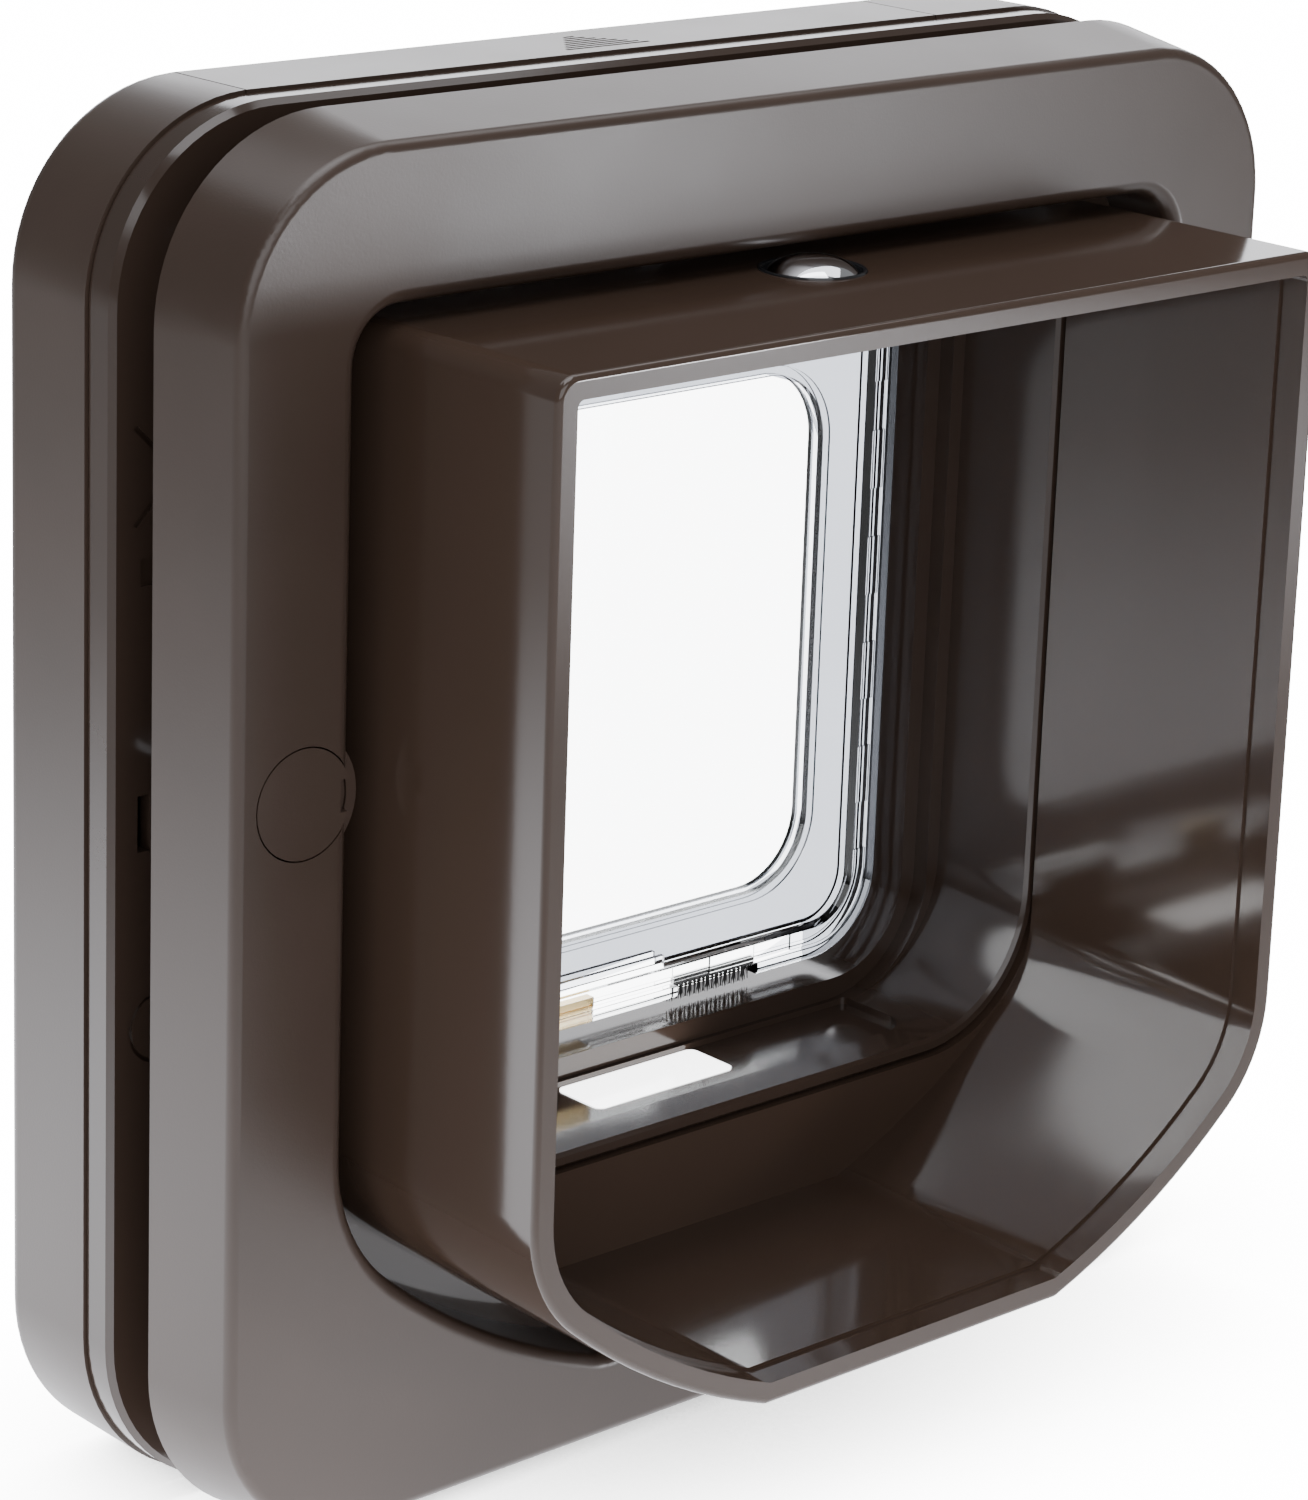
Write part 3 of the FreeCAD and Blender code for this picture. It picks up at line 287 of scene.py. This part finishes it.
def moulded_plastic(name, deep, pale, low, high, fineness, depth, drift=26.0, coat=0.0):
    """Dark or coloured moulding: two close tones, a roughness that drifts and a fine grain."""
    finish = bpy.data.materials.new(name)
    finish.use_nodes = True
    nodes, links = finish.node_tree.nodes, finish.node_tree.links
    shader = nodes["Principled BSDF"]
    grain = nodes.new("ShaderNodeGroup")
    grain.node_tree = grain_group
    for socket, value in (("Fineness", fineness), ("Drift", drift), ("Low", low), ("High", high)):
        grain.inputs[socket].default_value = value
    tones = nodes.new("ShaderNodeValToRGB")
    tones.color_ramp.elements[0].position = 0.35
    tones.color_ramp.elements[0].color = (*deep, 1)
    tones.color_ramp.elements[1].position = 0.65
    tones.color_ramp.elements[1].color = (*pale, 1)
    bump = nodes.new("ShaderNodeBump")
    bump.inputs["Strength"].default_value = 0.35
    bump.inputs["Distance"].default_value = depth
    links.new(grain.outputs["Tone"], tones.inputs["Fac"])
    links.new(tones.outputs["Color"], shader.inputs["Base Color"])
    links.new(grain.outputs["Roughness"], shader.inputs["Roughness"])
    links.new(grain.outputs["Height"], bump.inputs["Height"])
    links.new(bump.outputs["Normal"], shader.inputs["Normal"])
    shader.inputs["Coat Weight"].default_value = coat
    shader.inputs["Coat Roughness"].default_value = 0.08
    return finish


def dress(node, name, finish, angle=24):
    """A copy of a construction piece with its loose triangles joined and its curves shaded
    as curves, which stands for that piece on the same body."""
    source = frame["nodes"][node]
    piece = bpy.data.objects.new(name, source.data.copy())
    bpy.context.scene.collection.objects.link(piece)
    bpy.ops.object.select_all(action="DESELECT")
    piece.select_set(True)
    bpy.context.view_layer.objects.active = piece
    bpy.ops.object.mode_set(mode="EDIT")
    bpy.ops.mesh.select_all(action="SELECT")
    bpy.ops.mesh.remove_doubles(threshold=0.000002)
    bpy.ops.mesh.customdata_custom_splitnormals_clear()
    bpy.ops.object.mode_set(mode="OBJECT")
    bpy.ops.object.shade_smooth_by_angle(angle=math.radians(angle))
    even = piece.modifiers.new("even_shading", "WEIGHTED_NORMAL")
    even.weight = 100
    even.keep_sharp = True
    bpy.ops.object.modifier_apply(modifier=even.name)
    piece.data.materials.clear()
    piece.data.materials.append(finish)
    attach(piece, source["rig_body"])
    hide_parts(node)
    return piece


satin_brown = moulded_plastic("satin_brown", (0.040, 0.0255, 0.0185), (0.047, 0.030, 0.022),
                              0.29, 0.34, 2600.0, 0.00003)
dress("outer_surround", "surround", satin_brown)

# The hood: a glossy tunnel in the same brown, with a bowed chin and a flat rim. It is one
# moulding that slides in through the surround and stands out from the door.
gloss_brown = moulded_plastic("gloss_brown", (0.044, 0.0275, 0.0195), (0.050, 0.0315, 0.0225),
                              0.07, 0.11, 700.0, 0.000006, 12.0)
dress("outer_tunnel", "hood", gloss_brown)

# The screw caps: small brown discs with a stem and a pry notch. They are pushed in flush
# over the two screws that clamp the frames to the door.
dress("screw_cap_left", "cap_left", satin_brown)
dress("screw_cap_right", "cap_right", satin_brown)

# The housing on the room side: a glossier shell towards the panel with a satin cover screwed
# over it, a battery cover that slides off, a lock knob and a button in the cover's face.
shell_brown = moulded_plastic("shell_brown", (0.036, 0.0235, 0.0175), (0.042, 0.027, 0.020),
                              0.11, 0.16, 900.0, 0.00001, 14.0)
dress("rear_shell", "shell", shell_brown)
dress("room_cover", "cover", satin_brown)
dress("battery_cover", "battery_lid", satin_brown)
dress("lock_knob", "knob", satin_brown)
dress("settings_button", "button", satin_brown)


# The flap: one clear moulding with a thick stepped rim round a thin pane. Light falls
# through it, and its tone and gloss drift a little, as on moulded clear plastic. The thick
# rim swallows more of the light than the pane.
def clear_plastic(name, deep, pale):
    """Clear plastic with a slight drift of tone and gloss, which lets lamp light through."""
    clear = bpy.data.materials.new(name)
    clear.use_nodes = True
    clear_nodes, clear_links = clear.node_tree.nodes, clear.node_tree.links
    clear_shader = clear_nodes["Principled BSDF"]
    clear_shader.inputs["Transmission Weight"].default_value = 1.0
    clear_shader.inputs["IOR"].default_value = 1.49
    clear_grain = clear_nodes.new("ShaderNodeGroup")
    clear_grain.node_tree = grain_group
    for socket, value in (("Fineness", 60.0), ("Drift", 14.0), ("Low", 0.0), ("High", 0.03)):
        clear_grain.inputs[socket].default_value = value
    clear_tone = clear_nodes.new("ShaderNodeValToRGB")
    clear_tone.color_ramp.elements[0].color = (*deep, 1)
    clear_tone.color_ramp.elements[1].color = (*pale, 1)
    clear_bump = clear_nodes.new("ShaderNodeBump")
    clear_bump.inputs["Strength"].default_value = 0.1
    clear_bump.inputs["Distance"].default_value = 0.0001
    clear_links.new(clear_grain.outputs["Tone"], clear_tone.inputs["Fac"])
    clear_links.new(clear_tone.outputs["Color"], clear_shader.inputs["Base Color"])
    clear_links.new(clear_grain.outputs["Roughness"], clear_shader.inputs["Roughness"])
    clear_links.new(clear_grain.outputs["Height"], clear_bump.inputs["Height"])
    clear_links.new(clear_bump.outputs["Normal"], clear_shader.inputs["Normal"])
    clear_path = clear_nodes.new("ShaderNodeLightPath")
    clear_open = clear_nodes.new("ShaderNodeBsdfTransparent")
    clear_open.inputs["Color"].default_value = (0.45, 0.46, 0.47, 1)
    clear_mix = clear_nodes.new("ShaderNodeMixShader")
    clear_links.new(clear_path.outputs["Is Shadow Ray"], clear_mix.inputs["Fac"])
    clear_links.new(clear_shader.outputs["BSDF"], clear_mix.inputs[1])
    clear_links.new(clear_open.outputs["BSDF"], clear_mix.inputs[2])
    clear_links.new(clear_mix.outputs["Shader"], clear_nodes["Material Output"].inputs["Surface"])
    return clear


pane_clear = clear_plastic("clear_pane", (0.97, 0.985, 0.995), (0.985, 0.995, 1.0))
rim_clear = clear_plastic("clear_rim", (0.10, 0.106, 0.120), (0.13, 0.137, 0.150))
flap = dress("flap_door", "clear_flap", rim_clear)
flap.data.materials.append(pane_clear)
pane_middle, pane_half_width, pane_low, pane_high = 0.0286, 0.0465, 0.0657, 0.1505
foot_half_width, foot_top = 0.040, 0.0566
for face in flap.data.polygons:
    spot = face.center
    if abs(spot.x) < foot_half_width and spot.z < foot_top:
        face.material_index = 1
    if abs(face.normal.y) < 0.9 or abs(spot.y - pane_middle) > 0.001:
        continue
    if abs(spot.x) < pane_half_width and pane_low < spot.z < pane_high:
        face.material_index = 1


# The sill magnet: a bare steel-coloured block in the sill, pressed in under the flap's foot.
# It pulls the flap's own magnet and so holds the flap at the middle.
def bare_metal(name, deep, pale, low, high, fineness):
    """Bare or plated metal: two close tones under a fine, slightly uneven polish."""
    finish = moulded_plastic(name, deep, pale, low, high, fineness, 0.00001, 60.0)
    finish.node_tree.nodes["Principled BSDF"].inputs["Metallic"].default_value = 1.0
    return finish


zinc = bare_metal("zinc_steel", (0.42, 0.43, 0.44), (0.56, 0.57, 0.58), 0.26, 0.42, 1800.0)
dress("sill_magnet", "sill_magnet_plated", zinc)

# The battery contacts: thin plated steel plates with low domes, pushed into slots at the
# cells' ends. One long plate bridges the two rows.
for node in ("contact_bridge", "contact_lower", "contact_upper"):
    dress(node, node + "_plate", zinc)

# The two latches and the motor's cam: black mouldings. The latches slide up and down behind
# the flap's foot, one for each way of the swing, and the cam on the motor's shaft lifts one.
black = moulded_plastic("black_plastic", (0.012, 0.012, 0.013), (0.018, 0.018, 0.019),
                        0.35, 0.45, 2000.0, 0.00003)
for node in ("latch_outward", "latch_inward", "motor_cam"):
    dress(node, node + "_black", black)

# The latch motor: a small geared motor in a steel can, which sits in the housing's foot.
dress("latch_motor", "motor_can", zinc)

# The circuit board: a green plate with its parts, which stands behind the button at the
# doorway's side.
green = moulded_plastic("board_green", (0.010, 0.060, 0.030), (0.014, 0.085, 0.042),
                        0.22, 0.34, 1400.0, 0.00002)
dress("circuit_board", "board", green)

# The reader coil: a flat winding of copper wire around the sleeve, which reads the animal's
# chip as it comes through.
copper = bare_metal("copper_wire", (0.50, 0.22, 0.11), (0.62, 0.30, 0.16), 0.28, 0.40, 1500.0)
dress("reader_coil", "coil", copper)

# The status light: a small red plastic lens, set into the cover beside the button.
red = moulded_plastic("light_red", (0.45, 0.03, 0.02), (0.60, 0.05, 0.03),
                      0.16, 0.24, 900.0, 0.00001)
dress("status_light", "light_lens", red)

# The label: a thin white pad with rounded corners and a clear coat, stuck in the sleeve's
# tray and left blank. It is given a glow of its own, painted light for the bright light it lies in.
paper = moulded_plastic("label_white", (0.86, 0.86, 0.86), (0.92, 0.92, 0.92),
                        0.18, 0.26, 3000.0, 0.00001, 26.0, 1.0)
paper_shader = paper.node_tree.nodes["Principled BSDF"]
# Painted light: the label glows white of its own.
paper_shader.inputs["Emission Color"].default_value = (1, 1, 1, 1)
paper_shader.inputs["Emission Strength"].default_value = 6.0
dress("blank_label", "label", paper)

# The hinge pins: two plain steel pins at the flap's top corners, which turn in bearings of
# the rear shell.
for side in ("left", "right"):
    dress("hinge_pin_" + side, "pin_" + side, zinc)


# The light sensor: a bulging mirror lens, 13 mm across, in a black cup whose thin lip
# stands just proud of the hood's roof, with a dark gap between the two.
def begin(name, sides, radius, height):
    """A flat disc at the middle of the frame, in edit mode, as the start of a piece."""
    bpy.ops.object.select_all(action="DESELECT")
    bpy.ops.mesh.primitive_circle_add(vertices=sides, radius=radius, fill_type="NGON", location=(0, 0, 0))
    piece = bpy.context.object
    piece.name = name
    bpy.ops.object.mode_set(mode="EDIT")
    bpy.ops.mesh.select_all(action="SELECT")
    bpy.ops.transform.translate(value=(0, 0, height))
    return piece


def turned(name, sides, rings):
    """A round piece drawn out ring by ring along Z: each ring is (height, radius)."""
    piece = begin(name, sides, rings[0][1], rings[0][0])
    for (low, wide), (high, narrow) in zip(rings, rings[1:]):
        bpy.ops.mesh.extrude_region_move(TRANSFORM_OT_translate={"value": (0, 0, high - low)})
        share = narrow / wide
        bpy.ops.transform.resize(value=(share, share, 1), center_override=(0, 0, high))
    return piece


def settle(piece, body, finish, nodes, place=(0, 0, 0), angle=30):
    """Ends edit mode with the piece in its place, faces outward, shaded and dressed."""
    bpy.ops.mesh.select_all(action="SELECT")
    bpy.ops.transform.translate(value=place)
    bpy.ops.mesh.normals_make_consistent(inside=False)
    bpy.ops.object.mode_set(mode="OBJECT")
    bpy.ops.object.shade_smooth_by_angle(angle=math.radians(angle))
    piece.data.materials.clear()
    piece.data.materials.append(finish)
    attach(piece, body)
    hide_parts(*nodes)
    return piece


chrome = bare_metal("sensor_chrome", (0.80, 0.82, 0.85), (0.88, 0.90, 0.93), 0.03, 0.06, 900.0)
ring_black = moulded_plastic("ring_black", (0.010, 0.010, 0.011), (0.016, 0.016, 0.017),
                             0.06, 0.12, 900.0, 0.000005)
sensor_low, sensor_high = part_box("sensor_bezel")
sensor_place = ((sensor_low.x + sensor_high.x) / 2, (sensor_low.y + sensor_high.y) / 2, sensor_low.z)
cup_radius = (sensor_high.x - sensor_low.x) / 2
lens_radius = cup_radius - 0.0013
cup = turned("sensor_cup", 64, [
    (0, cup_radius), (0.0030, cup_radius), (0.0032, cup_radius - 0.00008), (0.0033, cup_radius - 0.0002),
    (0.0033, cup_radius - 0.00045), (0.0032, cup_radius - 0.0006), (0.0030, cup_radius - 0.0007),
    (0.0006, cup_radius - 0.0008),
])
settle(cup, "frame", ring_black, ["sensor_bezel"], sensor_place)
dome_rise, dome_foot = 0.0022, 0.0029
dome_rings = [(0.0008, lens_radius), (dome_foot, lens_radius)]
for share in (0.99, 0.96, 0.92, 0.87, 0.81, 0.74, 0.66, 0.57, 0.46, 0.33, 0.18, 0.06):
    dome_rings.append((dome_foot + dome_rise * (1 - share ** 3), lens_radius * share))
dome = turned("sensor_dome", 64, dome_rings)
settle(dome, "frame", chrome, ["sensor_lens"], sensor_place, 60)


# The screws: turned shanks with a rolled thread, and a low head with a cross recess. Two
# long ones clamp the frames to the door, four hold the flange, four the two housing halves.
def cross_screw(name, head_radius, head_tall, shank_radius, length, pitch):
    """One screw along Z: the top of its head at 0 and its tip at length."""
    rings = [(0.0, head_radius * 0.82), (0.0003, head_radius * 0.95), (0.0007, head_radius)]
    rings += [(head_tall, head_radius), (head_tall + 0.0001, shank_radius)]
    turns = int((length - head_tall - 0.0022) / pitch)
    for turn in range(turns):
        start = head_tall + 0.0006 + turn * pitch
        rings += [(start, shank_radius * 0.84), (start + pitch * 0.42, shank_radius)]
        rings += [(start + pitch * 0.58, shank_radius)]
    rings += [(length - 0.0006, shank_radius * 0.84), (length, shank_radius * 0.45)]
    screw = turned(name, 20, rings)
    bpy.ops.mesh.select_all(action="SELECT")
    bpy.ops.mesh.normals_make_consistent(inside=False)
    bpy.ops.object.mode_set(mode="OBJECT")
    bpy.ops.mesh.primitive_cube_add(size=1.0, location=(0, 0, 0))
    cutter = bpy.context.object
    cutter.name = name + "_driver"
    arm, slot_wide, slot_deep = head_radius * 1.1, head_radius * 0.26, head_tall * 0.6
    bpy.ops.object.mode_set(mode="EDIT")
    bpy.ops.transform.resize(value=(arm, slot_wide, slot_deep * 2))
    bpy.ops.mesh.duplicate()
    bpy.ops.transform.rotate(value=math.pi / 2, orient_axis="Z", center_override=(0, 0, 0))
    bpy.ops.object.mode_set(mode="OBJECT")
    recess = screw.modifiers.new("recess", "BOOLEAN")
    recess.object = cutter
    recess.operation = "DIFFERENCE"
    recess.use_self = True
    bpy.ops.object.select_all(action="DESELECT")
    screw.select_set(True)
    bpy.context.view_layer.objects.active = screw
    bpy.ops.object.modifier_apply(modifier=recess.name)
    bpy.data.objects.remove(cutter)
    return screw


def place_screws(node, screw, spots, start, inward):
    """Copies of a screw, each with a mesh of its own, at (x, z) places along the Y axis."""
    for number, (x, z) in enumerate(spots, start=1):
        bpy.ops.object.select_all(action="DESELECT")
        screw.select_set(True)
        bpy.context.view_layer.objects.active = screw
        bpy.ops.object.duplicate()
        copy = bpy.context.object
        copy.name = "%s_%d" % (screw.name, number)
        bpy.ops.object.mode_set(mode="EDIT")
        bpy.ops.mesh.select_all(action="SELECT")
        turn = -math.pi / 2 if inward else math.pi / 2
        bpy.ops.transform.rotate(value=-turn, orient_axis="X", center_override=(0, 0, 0))
        settle(copy, "frame", zinc, [node], (x, start, z))
    bpy.data.objects.remove(screw)


def corner_spots(low, high, reach):
    """The four places of screws whose heads reach the corners of a group's box."""
    across = high.x - reach
    return [(x, z) for x in (-across, across) for z in (low.z + reach, high.z - reach)]


clamp_head, small_head = 0.004, 0.0029
low_spot, high_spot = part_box("clamp_screws")
clamp = cross_screw("clamp_screw", clamp_head, 0.0026, 0.002, high_spot.y - low_spot.y, 0.0008)
clamp_height = (low_spot.z + high_spot.z) / 2
clamp_spots = [(low_spot.x + clamp_head, clamp_height), (high_spot.x - clamp_head, clamp_height)]
place_screws("clamp_screws", clamp, clamp_spots, low_spot.y, True)
low_spot, high_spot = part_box("flange_screws")
flange = cross_screw("flange_screw", small_head, 0.0015, 0.0013, high_spot.y - low_spot.y, 0.0009)
place_screws("flange_screws", flange, corner_spots(low_spot, high_spot, small_head), high_spot.y, False)
low_spot, high_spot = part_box("shell_screws")
shell_screw = cross_screw("shell_screw", small_head, 0.0014, 0.00135, high_spot.y - low_spot.y, 0.0009)
place_screws("shell_screws", shell_screw, corner_spots(low_spot, high_spot, small_head), low_spot.y, True)

# The four AA cells: cans 14.2 mm across and 50.4 mm long with crimped ends, a raised tip,
# a dark jacket and a pale band at the tip. The two rows lie head to tail.
jacket = moulded_plastic("cell_jacket", (0.016, 0.020, 0.030), (0.022, 0.028, 0.042),
                         0.18, 0.26, 900.0, 0.00001)
pale_band = moulded_plastic("cell_band", (0.40, 0.41, 0.43), (0.48, 0.49, 0.51),
                            0.20, 0.30, 900.0, 0.00001)
cell_radius, cell_length, tip_length, tip_radius = 0.0071, 0.0504, 0.0010, 0.0027
cell_rings = [(0.0, cell_radius * 0.84), (0.00012, cell_radius * 0.92), (0.0006, cell_radius * 0.975)]
cell_rings += [(0.0010, cell_radius * 0.985), (0.0013, cell_radius)]
shoulder = cell_length - tip_length
band_start = shoulder * 0.70
cell_rings += [(band_start, cell_radius), (shoulder - 0.0013, cell_radius)]
cell_rings += [(shoulder - 0.0010, cell_radius * 0.985), (shoulder - 0.0003, cell_radius * 0.975)]
cell_rings += [(shoulder, cell_radius * 0.90), (shoulder, tip_radius + 0.0009)]
cell_rings += [(shoulder + 0.0001, tip_radius), (cell_length - 0.0002, tip_radius)]
cell_rings += [(cell_length, tip_radius * 0.85)]
for number in (1, 2, 3, 4):
    row_low, row_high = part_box("battery_%d" % number)
    cell = turned("cell_%d" % number, 48, cell_rings)
    bpy.ops.mesh.select_all(action="SELECT")
    tip_right = number < 3
    turn = -math.pi / 2 if tip_right else math.pi / 2
    bpy.ops.transform.rotate(value=turn, orient_axis="Y", center_override=(0, 0, 0))
    row_start = row_low.x if tip_right else row_high.x
    row_place = (row_start, (row_low.y + row_high.y) / 2, (row_low.z + row_high.z) / 2)
    settle(cell, "frame", jacket, ["battery_%d" % number], row_place)
    cell.data.materials.append(pale_band)
    cell.data.materials.append(zinc)
    for face in cell.data.polygons:
        along = abs(face.center.x - row_start)
        if abs(face.normal.x) > 0.5 or along > shoulder:
            face.material_index = 2
        elif along > band_start:
            face.material_index = 1

# The flap's magnet: a gold-plated block, 12 mm long, with two grooves along each of its
# long faces, held in a slot of the flap's foot.
gold = bare_metal("gold_plate", (0.62, 0.44, 0.20), (0.80, 0.60, 0.30), 0.18, 0.30, 1800.0)
groove_low, groove_high = 0.12, 0.24
magnet_low, magnet_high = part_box("flap_magnet")
magnet_size = magnet_high - magnet_low
bpy.ops.object.select_all(action="DESELECT")
bpy.ops.mesh.primitive_cube_add(size=1.0, location=(0, 0, 0))
magnet = bpy.context.object
magnet.name = "magnet_block"
bpy.ops.object.mode_set(mode="EDIT")
bpy.ops.transform.resize(value=magnet_size)
for height in (-groove_high, -groove_low, groove_low, groove_high):
    bpy.ops.mesh.select_all(action="SELECT")
    bpy.ops.mesh.bisect(plane_co=(0, 0, magnet_size.z * height), plane_no=(0, 0, 1))
bpy.ops.mesh.select_mode(type="FACE")
bpy.ops.object.mode_set(mode="OBJECT")
for face in magnet.data.polygons:
    height = abs(face.center.z) / magnet_size.z
    face.select = abs(face.normal.y) > 0.9 and groove_low < height < groove_high
bpy.ops.object.mode_set(mode="EDIT")
bpy.ops.mesh.inset(thickness=0.0001, depth=-0.00025)
bpy.ops.mesh.select_mode(type="EDGE")
settle(magnet, "flap", gold, ["flap_magnet"], (magnet_low + magnet_high) / 2)


# The brushes: rows of short dark bristles in a thin spine, under the foot of the flap. One
# hair is drawn out of a square in three steps, twelve of them make a tuft, and tufts fill a row.
def draw_tuft(name, reach):
    """Twelve bristles that start in a patch 1.4 mm wide and hang down by about reach."""
    chance = random.Random(7)
    hairs = []
    for number in range(12):
        hair = begin(name + "_hair_%d" % number, 4, 0.00009, 0)
        lean_x, lean_y = chance.uniform(-0.10, 0.10), chance.uniform(-0.06, 0.06)
        step = reach * chance.uniform(0.86, 1.0) / 3
        for bend, thin in ((0.4, 0.92), (1.0, 0.85), (1.7, 0.6)):
            shift = (lean_x * step * bend, lean_y * step * bend, -step)
            bpy.ops.mesh.extrude_region_move(TRANSFORM_OT_translate={"value": shift})
            bpy.ops.transform.resize(value=(thin, thin, 1))
        bpy.ops.mesh.select_all(action="SELECT")
        spot = (chance.uniform(-0.0007, 0.0007), chance.uniform(-0.0005, 0.0005), 0)
        bpy.ops.transform.translate(value=spot)
        bpy.ops.mesh.normals_make_consistent(inside=False)
        bpy.ops.object.mode_set(mode="OBJECT")
        hairs.append(hair)
    bpy.ops.object.select_all(action="DESELECT")
    for hair in hairs:
        hair.select_set(True)
    bpy.context.view_layer.objects.active = hairs[0]
    bpy.ops.object.join()
    hairs[0].name = name
    return hairs[0]


fibre = moulded_plastic("bristle", (0.016, 0.015, 0.015), (0.05, 0.048, 0.047),
                        0.5, 0.65, 5200.0, 0.00012, 900.0)
spine_tall, tuft_length, count = 0.0016, 0.0031, 18
tuft = draw_tuft("tuft", tuft_length)
for side in ("left", "right"):
    brush_low, brush_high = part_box("brush_" + side)
    brush_size = brush_high - brush_low
    bpy.ops.object.select_all(action="DESELECT")
    bpy.ops.mesh.primitive_cube_add(size=1.0, location=(0, 0, 0))
    spine = bpy.context.object
    spine.name = "brush_spine_" + side
    bpy.ops.object.mode_set(mode="EDIT")
    bpy.ops.transform.resize(value=(brush_size.x, brush_size.y, spine_tall))
    bpy.ops.mesh.bevel(offset=0.0002, segments=2, affect="EDGES")
    brush_middle = (brush_low + brush_high) / 2
    spine_place = (brush_middle.x, brush_middle.y, brush_high.z - spine_tall / 2)
    settle(spine, "flap", fibre, ["brush_" + side], spine_place)
    for number in range(count):
        bpy.ops.object.select_all(action="DESELECT")
        tuft.select_set(True)
        bpy.context.view_layer.objects.active = tuft
        bpy.ops.object.duplicate()
        copy = bpy.context.object
        copy.name = "bristles_%s_%d" % (side, number + 1)
        bpy.ops.object.mode_set(mode="EDIT")
        bpy.ops.mesh.select_all(action="SELECT")
        turn = math.pi * (number % 2)
        bpy.ops.transform.rotate(value=turn, orient_axis="Z", center_override=(0, 0, 0))
        along = brush_low.x + brush_size.x * (number + 0.5) / count
        tuft_place = (along, brush_middle.y, brush_high.z - spine_tall + 0.0002)
        settle(copy, "flap", fibre, ["brush_" + side], tuft_place)
bpy.data.objects.remove(tuft)
